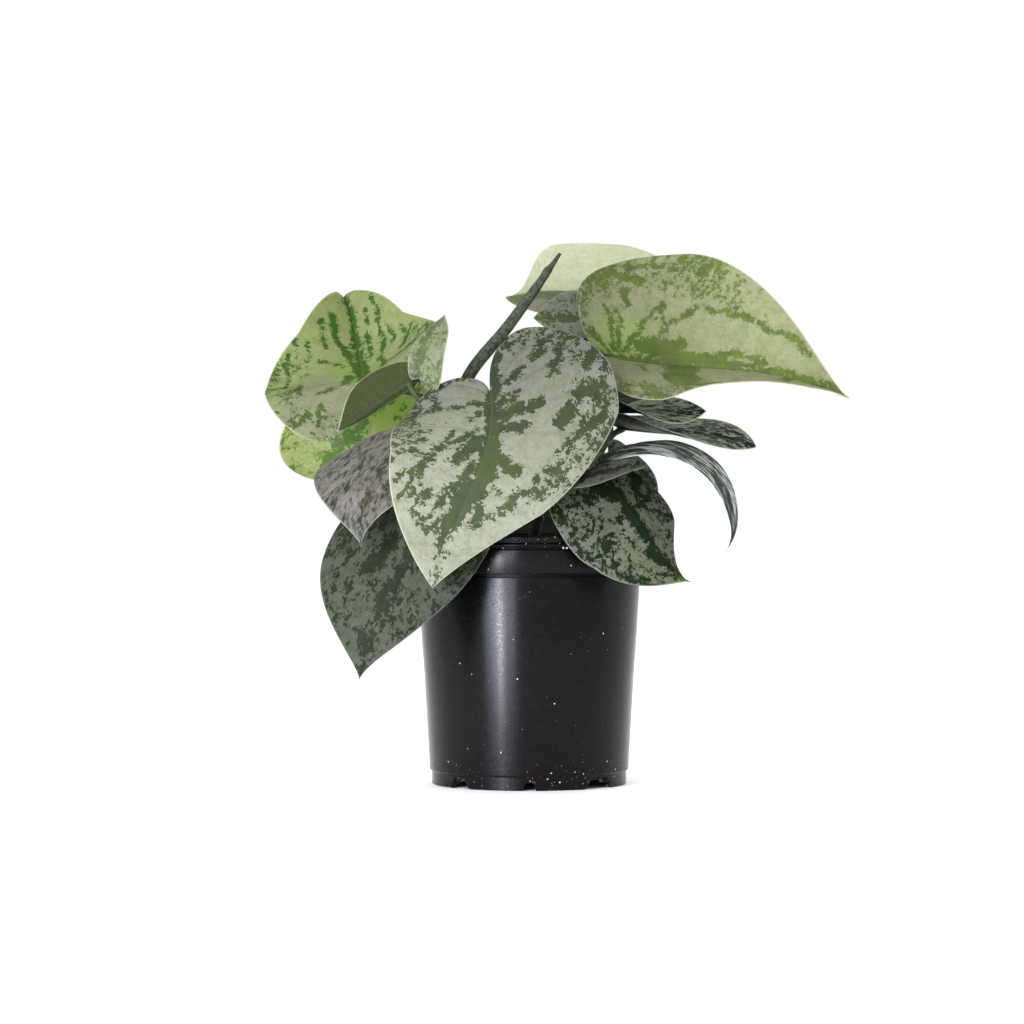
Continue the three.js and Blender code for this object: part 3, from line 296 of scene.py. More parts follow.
LOOKS = {
    "leaf_front": dict(
        silver="#939585", dark="#465036", glow=("#a5aa88", "#56703a"), under="#757d5d", rib=-0.5,
        margin=0.1, painted_light=(0.56, 1.1), soft=0.1, vein=0.16, wander=0.55, line=0.15,
        marks=(
            (0, 3, 0, 34, 4.0), (-16, 12, -3, 17, 4.0), (-26, 12, -22, 12, 3.2), (-14, 1, -4, 6, 1.2),
            (-12, 7, -2, 10, 1.4), (-17, 21, -3, 23, 3.4), (-19, 44, -6, 40, 3.2), (-3, 36, -3, 64, 6.0),
            (4, 32, 14, 47, 4.0), (5, 50, 7, 66, 3.0), (8, 27, 22, 42, 2.2), (22, 42, 27, 48, 2.2),
            (27, 48, 29, 62, 2.4), (5, 12, 11, 20, 1.8), (3, 8, 20, 7, 1.5), (2, 62, 3, 82, 5.0),
            (3, 84, 4, 101, 2.0), (10, 62, 13, 76, 1.4), (13, 76, 17, 88, 1.6), (8, 80, 11, 90, 1.4),
            (-8, 64, -10, 77, 2.2), (-21, 67, -14, 71, 1.8), (-36, 52, -27, 54, 2.0),
            (-22, 54, -22, 60, 1.6), (-14, 56, -9, 54, 1.4), (-42, 40, -33, 43, 1.8),
            (-43, 15, -37, 20, 3.6), (-50, 20, -42, 29, 2.4), (-5, -23, -3, -3, 4.0),
            (-32, -27, -28, -18, 3.2), (-43, -29, -50, -24, 1.8), (-50, -22, -47, -15, 1.8),
            (-42, -24, -41, -18, 2.6), (-13, -34, -12, -30, 2.0), (-22, -31, -20, -27, 1.6),
            (-39, -13, -34, -4, 2.6), (-20, -14, -8, -3, 1.5), (-60, -12, -52, -2, 3.4),
            (-64, 8, -48, 8, 2.6), (-62, 18, -52, 22, 2.4), (31, -5, 31, 8, 2.2), (24, 8, 36, 7, 1.6),
            (42, -4, 43, 26, 2.0), (32, 32, 38, 31, 1.6), (34, 40, 38, 42, 2.4), (37, 52, 42, 54, 2.6),
            (31, 66, 29, 78, 1.6), (20, 71, 22, 80, 1.8), (20, 29, 20, 33, 1.4), (43, 57, 45, 64, 1.4),
            (36, 66, 38, 72, 1.6), (31, 74, 33, 80, 1.5), (26, 78, 22, 84, 1.6), (40, 44, 48, 50, 1.5),
            (30, 60, 26, 68, 1.5), (17, 84, 14, 90, 1.4), (36, 56, 30, 52, 1.4), (-34, 42, -30, 48, 1.3),
            (-24, 62, -18, 64, 1.2),
        ),
    ),
    "leaf_right_top": dict(
        silver="#8e9172", dark="#5d6a36", glow=("#abb178", "#7c9a36"), under="#8a936e", rib=1.0,
        lamina=-2.2, margin=-0.1, band=0.62, painted_light=(0.76, 1.07), soft=0.65, vein=0.14, ragged=0.7,
        wander=0.7, fresh=((-9, 4, 26),),
        marks=(
            (-9, 19, -11, 34, 6.0), (4, 2, 6, 30, 2.5), (-4, -2, -15, -14, 1.6), (-5, 2, -33, -5, 1.6),
            (-5, 4, -31, 2, 1.6), (-6, 8, -24, 15, 1.8), (-24, 15, -36, 27, 1.6), (-3, 30, -6, 62, 3.5),
            (-9, 62, -7, 84, 2.4), (-2, 60, -2, 126, 2.0), (-14, 26, -38, 26, 1.6),
            (-27, 30, -36, 46, 1.8), (-36, 46, -36, 60, 2.0), (-33, 62, -24, 90, 1.8),
            (-26, 84, -16, 106, 1.6), (-58, -6, -52, 12, 3.0), (-46, 6, -36, 8, 2.4),
            (-62, 8, -62, 30, 2.4), (8, 38, 42, 44, 10.0), (32, 30, 42, 38, 5.0), (50, 48, 52, 68, 3.0),
            (14, 14, 26, 17, 1.4), (8, 96, 20, 98, 2.6), (46, 0, 52, 30, 1.6), (58, 10, 60, 30, 2.0),
        ),
    ),
    "leaf_crown": dict(
        # its darker near half, from halves and from the one mark along the midrib, is painted shade
        silver="#b4b898", dark="#8f9868", glow=("#dedcd8", "#bcc2a2"), under="#8b9470", rib=-1.0,
        lamina=-4.5, margin=-4.0, soft=1.4, vein=0.12, through=0.66, halves=(0.55, 1.0), mottle=0.6,
        marks=(
            (-7, 2, -6, 58, 7.0),
        ),
    ),
    "leaf_crown_low": dict(
        silver="#727569", dark="#484e3a", glow=("#b4b799", "#6a7a4c"), under="#7e8862", lamina=-1.1,
        through=0.3, fresh=((-1, 29, 6),),
    ),
    "leaf_left_top": dict(
        silver="#8c9070", dark="#48602c", glow=("#b6c27a", "#5c8828"), under="#899170", rib=1.0,
        lamina=-2.0, margin=-0.6, band=0.6, soft=0.4, through=0.55, ragged=0.65, wander=0.5,
        # its shaded fields are painted shadow on its left lobe
        fresh=((0, 10, 26), (-8, 22, 14)), painted_shadow=((-20, -6, 24), (-30, -26, 28)),
        marks=(
            # the first mark, at the sinus, is partly painted shade, and the second is painted shade
            (0, 14, 0, 28, 5.2), (-9, -6, -8, 12, 3.2), (13, 4, 14, 24, 1.8), (-4, 28, -12, 48, 2.4),
            (-12, 48, -15, 64, 2.6), (-42, -2, -42, 30, 1.4), (-36, -10, -34, 2, 1.6),
            (-30, 28, -31, 46, 1.2), (-24, 28, -10, 26, 1.2), (0, 28, 0, 92, 1.4), (14, 24, 18, 44, 1.4),
            (17, 44, 17, 72, 1.2), (24, 30, 22, 50, 1.2), (44, -4, 46, 12, 1.4), (36, -14, 30, -24, 2.2),
            (-30, -30, -26, -22, 1.4), (-42, -30, -34, -24, 1.4), (-26, -14, -12, -8, 1.4),
            (6, 30, 9, 50, 1.2), (9, 50, 10, 66, 1.2), (28, 18, 38, 30, 1.6), (-20, 40, -22, 58, 1.3),
            (20, 8, 34, 8, 1.6), (-38, 38, -40, 50, 1.4), (30, 40, 34, 24, 1.3),
        ),
    ),
    "leaf_left_narrow": dict(
        silver="#787e64", dark="#566244", glow=("#8b9a68", "#5c7a3c"), lamina=-1.2, margin=-0.3,
        soft=0.6, through=0.2, gloss=0.08,
    ),
    "leaf_left_back": dict(
        silver="#979c70", dark="#5c763c", glow=("#b8c293", "#6c8e45"), under="#7d8f5a", lamina=-1.4,
        margin=-0.8, soft=0.9, vein=0.2, through=0.55, fresh=((-6, 12, 20),),
        marks=(
            (-3, 0, -8, 26, -5.0), (-3, 34, 3, 60, 3.0),
        ),
    ),
    "leaf_left_rolled": dict(
        silver="#878975", dark="#36422a", glow=("#8d926f", "#44592a"), under="#3c4429", through=0.25,
        gloss=0.05,
    ),
    "leaf_left_mid": dict(
        silver="#6f6d67", dark="#33322c", glow=("#a0a682", "#495f2f"), under="#646558", rib=0.5,
        lamina=-0.4, margin=-0.6, soft=1.7, through=0.2, ragged=0.9, stretch=2.6, gloss=0.05,
    ),
    "leaf_left_low": dict(
        silver="#484d42", dark="#272d20", glow=("#8e9273", "#536535"), under="#707658", rib=1.2,
        lamina=-1.0, margin=-0.2, painted_light=(0.8, 1.06), soft=0.4, through=0.2, ragged=1.2, stretch=1.4,
        gloss=0.04,
        marks=(
            (0, 26, 3, 70, 3.4), (3, 70, 5, 92, 1.8), (12, 32, 20, 52, 5.0), (30, -2, 14, 24, 1.6),
            (22, 50, 24, 76, 1.4), (34, 44, 32, 66, 1.6), (-10, 66, -10, 70, 1.8),
            (-20, 60, -12, 82, 1.4), (-28, 26, -26, 44, 2.0),
        ),
    ),
    "leaf_right_low": dict(
        silver="#646859", dark="#1c2718", glow=("#989d77", "#4a5e2f"), under="#707b56", rib=2.4,
        rib_width=4.0, lamina=-0.9, margin=0.1, soft=0.8, through=0.2, ragged=1.15, stretch=1.2,
        # its shaded fields are painted shadow, where leaf_right_small shades it
        gloss=0.04, line=0.12, fresh=((1, 67, 7),), painted_shadow=((4, 0, 28), (17, 10, 20)),
        marks=(
            (13, -2, 17, 12, 1.8), (17, 13, 24, 22, 1.8), (24, 22, 27, 38, 1.8), (29, -6, 34, 10, 2.2),
            (34, 14, 35, 32, 2.0), (19, 46, 25, 38, 1.6), (22, 34, 27, 38, 1.8), (16, 36, 18, 44, 1.4),
            (8, 22, 12, 34, 1.4), (20, -5, 26, -10, 1.6), (-26, 2, -14, 10, 4.5),
            (-28, 14, -16, 18, 3.0), (-8, 14, -24, 30, 1.6), (-20, 40, -18, 52, 1.6), (0, 0, 0, 50, 4.5),
            (0, -6, 4, 2, 7.0), (2, 56, 2, 69, 2.4), (10, 48, 6, 58, 1.4),
        ),
    ),
    "leaf_right_small": dict(
        silver="#4c4d45", dark="#1f211b", glow=("#9ea581", "#495d2f"), under="#788360", lamina=-0.8,
        through=0.12, gloss=0.04,
    ),
    "leaf_front_under": dict(
        silver="#63675c", dark="#363c30", lamina=-1.0, through=0.2,
    ),
    "leaf_right_rolled": dict(
        silver="#959e8a", dark="#161b0f", glow=("#a5b086", "#344721"), under="#161a10", lamina=-0.2,
        soft=0.7, through=0.12, stretch=3.0, gloss=0.04,
    ),
    "leaf_right_flat": dict(
        silver="#889380", dark="#10180b", glow=("#99a47f", "#344421"), under="#1a2013", lamina=0.0,
        margin=0.2, soft=0.7, through=0.15, stretch=2.4, gloss=0.04,
    ),
    "leaf_right_strap": dict(
        silver="#a3a7a6", dark="#343933", glow=("#d2d9b6", "#4d6434"), under="#434541", lamina=0.3,
        margin=0.0, painted_light=(0.5, 1.3), soft=1.3, through=0.12, ragged=1.2, stretch=6.0, gloss=0.04,
    ),
    "leaf_right_inner": dict(
        silver="#93a28e", dark="#4a5a44", glow=("#8d9a80", "#4c6434"), under="#6a765c", lamina=0.8,
        through=0.2, gloss=0.04,
    ),
    "leaf_right_shade": dict(
        # its near-black colours are painted shade, for a leaf deep in the shade behind the others
        silver="#20281a", dark="#0c1408", glow=("#5a6440", "#2e3c1c"), under="#12170d", through=0.08,
        gloss=0.04,
    ),
    "leaf_back_left": dict(
        rib=2.0, lamina=-1.6, margin=-0.3, ragged=1.1,
        marks=(
            (-14, 10, -12, 30, 2.0), (12, 2, 16, 22, 2.2), (10, 36, 8, 52, 1.6), (-22, 24, -20, 40, 1.4),
            (-8, 40, -6, 56, 1.4),
        ),
    ),
    "leaf_back_mid": dict(
        rib=2.0, lamina=-1.6, margin=-0.3, ragged=1.1,
        marks=(
            (12, 4, 18, 20, 2.4), (-12, 14, -14, 34, 1.8), (16, 30, 14, 48, 1.4), (-18, 2, -22, 14, 1.8),
            (6, 48, 5, 62, 1.2),
        ),
    ),
    "leaf_back_low": dict(
        # its near-black lower face, which lets little light through, is painted shade in the gap above the
        # rim
        silver="#5b6054", dark="#2c3628", under="#191c17", lamina=-1.0, margin=-0.3, through=0.02,
        gloss=0.04,
    ),
}
FRESH_PALE = "#98b452"
FRESH_GREEN = "#547a28"

# What a blade's colours are multiplied by, in red, green and blue, where they vary.
SILVER_SHADED = (0.76, 0.81, 0.72)
SILVER_DUSTY = (1.22, 1.19, 1.16)
GREEN_DEEP = (0.68, 0.76, 0.8)
GREEN_OLIVE = (1.2, 1.2, 0.66)
GLOW_THICK = (0.8, 0.9, 0.66)
GLOW_DOTTED = (0.78, 0.95, 0.45)
VEIN_BELOW = (1.25, 1.25, 1.2)
MIDRIB_LINE = (0.75, 0.75, 0.75)
# The pale margin is partly the blade's own pale edge and partly a painted highlight on the edge.
MARGIN_PALE_AND_HIGHLIGHT = (1.5, 1.5, 1.5)
BRIGHTEST = 0.7  # that any channel gets
# In a field of painted shadow a blade keeps this brightness and this share of the light that comes through.
PAINTED_SHADOW_TONE = 0.62  # brightness that a shaded field keeps
PAINTED_SHADOW_THROUGH = 0.15  # share of the light that comes through which it keeps

# ---------------------------------------------------------------- vines
STEM_STEPS, STEM_SIDES = 160, 28
PETIOLE_STEPS, PETIOLE_SIDES = 56, 18
PETIOLE_RADIUS = 1.7
PETIOLE_RISE = 0.45  # how far it first follows its vine, as a share of its span
PETIOLE_REACH = 0.32  # how far it runs straight into its blade, as a share of its span
PETIOLE_ALONG = 0.35  # how much it arrives along the midrib, rather than from below
PETIOLE_BASE = 1.1  # what its clasping base adds to its radius
PETIOLE_NECK = 0.25  # what its neck adds, below the blade
PETIOLE_CHANNEL = 0.22
NODE_SWELLING = 0.7
NODE_REACH = 0.012  # of a swelling, as a share of the vine's length
ROLL_SEAM = 0.16  # how far the rolled leaf's outer edge stands off, as a share of its radius
ROLL_MOUTH = 0.9
STEM_BROWN = ("#2b2f25", "#434939")
PETIOLE_GREEN = ("#2b3420", "#3e4a2c")
# painted shade that darkens the stems towards the soil, under the leaves
STEM_SHADE = "#0d0d10"
STEM_FLECK = "#8f8a72"
STEM_SHADE_HEIGHTS = (150, 190)  # heights between which the stems darken towards the soil
VINE_RADII = (3.2, 3.2, 3.2, 3.0, 2.4)
FOOT_HEIGHTS = (106, 121, 131)

# A vine rises straight from its foot and follows its path. Its radii are at even shares of its length.
# For each leaf that it carries, petioles gives the share of the vine's length where the petiole leaves,
# and the points that it goes by, if any.
VINES = {
    "vine_front_left": dict(
        foot=(-20, -4),
        path=(
            (-27, -7, 148), (-39, -13, 172), (-42, -16, 198), (-33, -17, 223), (-12, -12, 250),
            (6, -6, 275), (17, -2, 291),
        ),
        radii=(3.2, 3.2, 3.2, 3.2, 3.3, 3.4, 3.4, 3.0, 2.5, 0.8),
        petioles={
            "leaf_front": (0.47, ()),
            "leaf_left_mid": (0.4, ((-54, -20, 197), (-61, -27, 192))),
            "leaf_left_low": (0.22, ()),
            "leaf_left_rolled": (0.4, ((-48, -26, 202), (-56, -34, 207), (-62, -36, 213))),
        },
    ),
    "vine_left": dict(
        foot=(-24, 18),
        path=((-28, 20, 146), (-36, 21, 172)),
        radii=VINE_RADII,
        petioles={
            "leaf_left_top": (0.9, ((-42, 20, 196), (-62, 15, 214), (-85, 9, 217))),
            "leaf_left_narrow": (0.96, ()),
            "leaf_left_back": (0.97, ((-40, 27, 198), (-51, 52, 220), (-62, 70, 224))),
        },
    ),
    "vine_front_right": dict(
        foot=(16, -20),
        path=((19, -23, 143), (24, -25, 158)),
        radii=VINE_RADII,
        petioles={
            "leaf_right_low": (0.85, ()),
            "leaf_right_small": (0.95, ((40, -43, 175), (50, -58, 170))),
            "leaf_front_under": (0.95, ()),
            "leaf_right_strap": (0.9, ()),
        },
    ),
    "vine_right": dict(
        foot=(24, 12),
        path=((26, 12, 146), (30, 10, 170)),
        radii=VINE_RADII,
        petioles={
            "leaf_right_top": (0.95, ()),
            "leaf_right_rolled": (0.9, ((34, 3, 192), (43, 4, 203))),
            "leaf_right_flat": (0.8, ((40, 14, 182), (47, 14, 192))),
            "leaf_right_inner": (0.7, ()),
        },
    ),
    "vine_back": dict(
        foot=(2, 28),
        path=((5, 30, 146), (9, 31, 172)),
        radii=VINE_RADII,
        petioles={
            "leaf_crown": (0.96, ()),
            "leaf_crown_low": (0.96, ((22, 27, 205), (32, 21, 246))),
            "leaf_right_shade": (0.88, ()),
            "leaf_back_left": (0.84, ()),
            "leaf_back_mid": (0.78, ()),
            "leaf_back_low": (0.6, ()),
        },
    ),
}


# ---------------------------------------------------------------- helpers: numbers
def smooth(low, high, x):
    """0 below low, 1 above high, and a soft step between."""
    share = np.clip((x - low) / (high - low), 0, 1)
    return share * share * (3 - 2 * share)


def between(pair, share):
    """The value a share of the way from the first of a pair to the second."""
    return pair[0] + (pair[1] - pair[0]) * share


def unit(vectors):
    """The vectors with length 1."""
    return vectors / np.maximum(np.linalg.norm(vectors, axis=-1, keepdims=True), 1e-12)


def linear(colour, alpha=1.0):
    """A "#rrggbb" colour as the linear RGBA that shaders take."""
    shares = [int(colour[i : i + 2], 16) / 255 for i in (1, 3, 5)]
    return [s / 12.92 if s <= 0.04045 else ((s + 0.055) / 1.055) ** 2.4 for s in shares] + [alpha]


# ---------------------------------------------------------------- helpers: pieces
def new_piece(name, vertices, faces, materials, material_of=None):
    """A smooth mesh object from vertices in millimetres."""
    mesh = bpy.data.meshes.new(name)
    mesh.from_pydata((np.asarray(vertices) * MM).tolist(), [], faces)
    for material in materials:
        mesh.materials.append(material)
    if material_of is not None:
        mesh.polygons.foreach_set("material_index", material_of)
    mesh.shade_smooth()
    mesh.update()
    piece = bpy.data.objects.new(name, mesh)
    bpy.context.scene.collection.objects.link(piece)
    return piece


def set_vectors(piece, name, vectors):
    """Stores one vector a vertex under a name that a material can read."""
    stored = piece.data.attributes.new(name, "FLOAT_VECTOR", "POINT")
    stored.data.foreach_set("vector", np.asarray(vectors, np.float32).ravel())


def dress(piece, slot, *nodes):
    """The piece rides with the plant and stands for CAD nodes. slot is not used."""
    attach(piece, "root")
    if nodes:
        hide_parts(*nodes)


def slot_of(name):
    """The material slot that a CAD node was packed with."""
    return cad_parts[name].data.materials[0].name


def bands(rings, sides):
    """Faces between closed rings of vertices."""
    faces = []
    for i in range(rings - 1):
        for k in range(sides):
            a, b = i * sides + k, i * sides + (k + 1) % sides
            faces.append([a, b, b + sides, a + sides])
    return faces


# ---------------------------------------------------------------- helpers: materials
def node(tree, kind, inputs=(), **settings):
    """A shader node with its settings made and its inputs set or linked."""
    made = tree.nodes.new(kind)
    for key, value in settings.items():
        setattr(made, key, value)
    for key, value in dict(inputs).items():
        if isinstance(value, bpy.types.NodeSocket):
            tree.links.new(value, made.inputs[key])
        else:
            made.inputs[key].default_value = value
    return made


def maths(tree, operation, *values):
    """The result of one step of arithmetic."""
    return node(tree, "ShaderNodeMath", enumerate(values), operation=operation).outputs[0]


def times(tree, a, b):
    """Two values multiplied."""
    return maths(tree, "MULTIPLY", a, b)


def away(tree, value, middle):
    """How far a value is from a middle one."""
    return maths(tree, "ABSOLUTE", maths(tree, "SUBTRACT", value, middle))


def step(tree, value, low, high, to_low=0.0, to_high=1.0):
    """A soft step of a value from low to high."""
    inputs = {"Value": value, "From Min": low, "From Max": high, "To Min": to_low, "To Max": to_high}
    return node(tree, "ShaderNodeMapRange", inputs, interpolation_type="SMOOTHSTEP").outputs[0]


def mixed(tree, share, a, b):
    """Two colours mixed by a share."""
    return node(tree, "ShaderNodeMix", {0: share, 6: a, 7: b}, data_type="RGBA").outputs[2]


def attribute(tree, name):
    """The vector that a mesh stores under a name."""
    return node(tree, "ShaderNodeAttribute", attribute_name=name).outputs["Vector"]


def parts(tree, vector):
    """The three numbers of a vector."""
    return node(tree, "ShaderNodeSeparateXYZ", {0: vector}).outputs


def combined(tree, x, y):
    """A vector from two numbers."""
    return node(tree, "ShaderNodeCombineXYZ", {0: x, 1: y}).outputs[0]


def place_of(tree):
    """The place of a shaded point, in metres."""
    return node(tree, "ShaderNodeTexCoord").outputs["Object"]


def shifted(tree, vector, amount):
    """A vector moved along, so that two patterns from it differ."""
    inputs = {0: vector, 1: (amount, 2 * amount, 3 * amount)}
    return node(tree, "ShaderNodeVectorMath", inputs, operation="ADD").outputs[0]


def scaled(tree, colour, factor):
    """A colour multiplied by a number."""
    inputs = {0: colour, "Scale": factor}
    return node(tree, "ShaderNodeVectorMath", inputs, operation="SCALE").outputs[0]


def fog(tree, vector, size, detail=2.0, roughness=0.5):
    """Soft noise around 0 whose spots are about size across."""
    inputs = {"Vector": vector, "Scale": 1 / size, "Detail": detail, "Roughness": roughness}
    value = node(tree, "ShaderNodeTexNoise", inputs).outputs[0]
    return maths(tree, "SUBTRACT", value, 0.5)


def patches(tree, vector, size):
    """A random value around 0 for each small cell of about that size, as in the tissue of a blade."""
    inputs = {"Vector": vector, "Scale": 1 / size}
    colour = node(tree, "ShaderNodeTexVoronoi", inputs, voronoi_dimensions="2D").outputs["Color"]
    return maths(tree, "SUBTRACT", parts(tree, colour)[0], 0.5)


def bumped(tree, height, depth):
    """Normals for a height given in millimetres."""
    inputs = {"Height": height, "Distance": depth * MM, "Strength": 1.0}
    return node(tree, "ShaderNodeBump", inputs).outputs[0]


def new_material(name):
    """An empty material and its node tree."""
    material = bpy.data.materials.new(name)
    material.use_nodes = True
    material.node_tree.nodes.clear()
    return material, material.node_tree


def principled(tree, inputs):
    """A surface shader with these inputs."""
    return node(tree, "ShaderNodeBsdfPrincipled", inputs)


def shown(tree, shader):
    """Makes a shader the surface of its material."""
    node(tree, "ShaderNodeOutputMaterial", {"Surface": shader.outputs[0]})


# ---------------------------------------------------------------- leaves: shape
def turned(vectors, axis, angle):
    """Vectors turned about a unit axis by an angle in degrees."""
    matrix = np.array(Matrix.Rotation(math.radians(angle), 3, Vector(axis)))
    return vectors @ matrix.T


def spine_start(leaf):
    """Distance from the sinus, place and axes (along, right, up) of the midrib at the sinus."""
    heading, pitch, roll = (math.radians(leaf[key]) for key in ("heading", "pitch", "roll"))
    along = np.array(
        (math.cos(pitch) * math.cos(heading), math.cos(pitch) * math.sin(heading), math.sin(pitch))
    )
    level = np.array((math.sin(heading), -math.cos(heading), 0.0))
    right = math.cos(roll) * level - math.sin(roll) * np.cross(level, along)
    return 0.0, np.array(leaf["at"], float), np.array((along, right, np.cross(right, along)))


def spine_of(leaf):
    """Distances from the sinus, places and axes of the midrib, from behind the sinus to the tip."""
    start = spine_start(leaf)
    forward = [start]
    length = leaf["length"] / SPINE_STEPS
    for i in range(SPINE_STEPS):
        share = (i + 0.5) / SPINE_STEPS
        half = 0 if share < 0.5 else 1
        hook = leaf["hook"] / (1 - HOOK_START) / SPINE_STEPS if share > HOOK_START else 0
        y, place, axes = forward[-1]
        axes = turned(axes, axes[1], -(leaf["droop"][half] * 2 / SPINE_STEPS + hook))
        axes = turned(axes, axes[2], -leaf["sweep"][half] * 2 / SPINE_STEPS)
        axes = turned(axes, axes[0], leaf["twist"] / SPINE_STEPS)
        forward.append((y + length, place + axes[0] * length, axes))

    back = [start]
    length = max(leaf["lobe"]) * 1.2 / LOBE_STEPS
    for _ in range(LOBE_STEPS):
        y, place, axes = back[-1]
        axes = turned(axes, axes[1], leaf["lobe_droop"] / LOBE_STEPS)
        back.append((y - length, place - axes[0] * length, axes))

    stops = back[:0:-1] + forward
    return [np.array([stop[k] for stop in stops]) for k in range(3)]


def flat_points(leaf, side, s, t):
    """Flat x and y of one half blade: s from the sinus to the tip, t from the midrib to the margin."""
    length, half, lobe = leaf["length"], leaf["half"][side], leaf["lobe"][side]
    lobe_end = leaf["lobe_at"] * half
    widest_at = leaf["widest"] * length
    turn = np.clip(s / LOBE_SHARE, 0, 1) * math.pi / 2
    past = np.clip((s - LOBE_SHARE) / (1 - LOBE_SHARE), 0, 1)
    tapered = half * (1 - past ** leaf["shoulder"][side]) ** leaf["taper"][side]
    in_lobe = s < LOBE_SHARE
    margin_x = np.where(in_lobe, lobe_end + (half - lobe_end) * np.sin(turn), tapered)
    margin_y = np.where(
        in_lobe,
        widest_at - (widest_at + lobe) * np.cos(turn),
        widest_at + (length - widest_at) * past,
    )
    midrib = length * s**ROW_SPACING
    blend = smooth(0, SINUS_END, s)
    fade = blend * (1 - s)
    bow_out = (1 - blend) * SINUS_BOW[0] * lobe_end + fade * FAN_BOW[0] * half
    bow_back = (1 - blend) * SINUS_BOW[1] * lobe + fade * FAN_BOW[1] * length
    bow = 4 * t * (1 - t)
    return t * margin_x + bow * bow_out, (1 - t) * midrib + t * margin_y + bow * bow_back


def bent_points(leaf, spine, side, x, y):
    """Places in space of flat points of one half."""
    steps, places, axes = spine
    i = np.clip(np.searchsorted(steps, y) - 1, 0, len(steps) - 2)
    share = (y - steps[i]) / (steps[i + 1] - steps[i])
    place = places[i] + (places[i + 1] - places[i]) * share[..., None]
    inside = np.clip(share, 0, 1)[..., None, None]
    frame_axes = unit(axes[i] + (axes[i + 1] - axes[i]) * inside)
    share = np.clip(y / leaf["length"], 0, 1)
    fold, curl = (between(leaf[key][side], share) for key in ("fold", "curl"))
    out = np.zeros_like(x)
    rise = np.zeros_like(x)
    for k in range(CURL_STEPS):
        angle = np.radians(fold + curl * x * (k + 0.5) / CURL_STEPS / leaf["half"][side])
        out += np.cos(angle) * x / CURL_STEPS
        rise += np.sin(angle) * x / CURL_STEPS
    out = out if side == 1 else -out
    return place + frame_axes[..., 1, :] * out[..., None] + frame_axes[..., 2, :] * rise[..., None]


def vertex_normals(points, faces):
    """Unit normals at the vertices of a mesh of quads and triangles, from the lines across its faces."""
    normals = np.zeros_like(points)
    for corners in (np.array([f for f in faces if len(f) == n]) for n in (3, 4)):
        if len(corners):
            across = points[corners[:, 2]] - points[corners[:, 0]]
            other = points[corners[:, -1]] - points[corners[:, 1]]
            facing = np.cross(across, other)
            for k in range(corners.shape[1]):
                np.add.at(normals, corners[:, k], facing)
    return unit(normals)


def stroke_gap(x, y, start, end):
    """Distance of flat points from a straight stroke."""
    run = np.subtract(end, start, dtype=float)
    along = ((x - start[0]) * run[0] + (y - start[1]) * run[1]) / (run @ run + 1e-9)
    along = np.clip(along, 0, 1)
    return np.hypot(x - start[0] - along * run[0], y - start[1] - along * run[1])


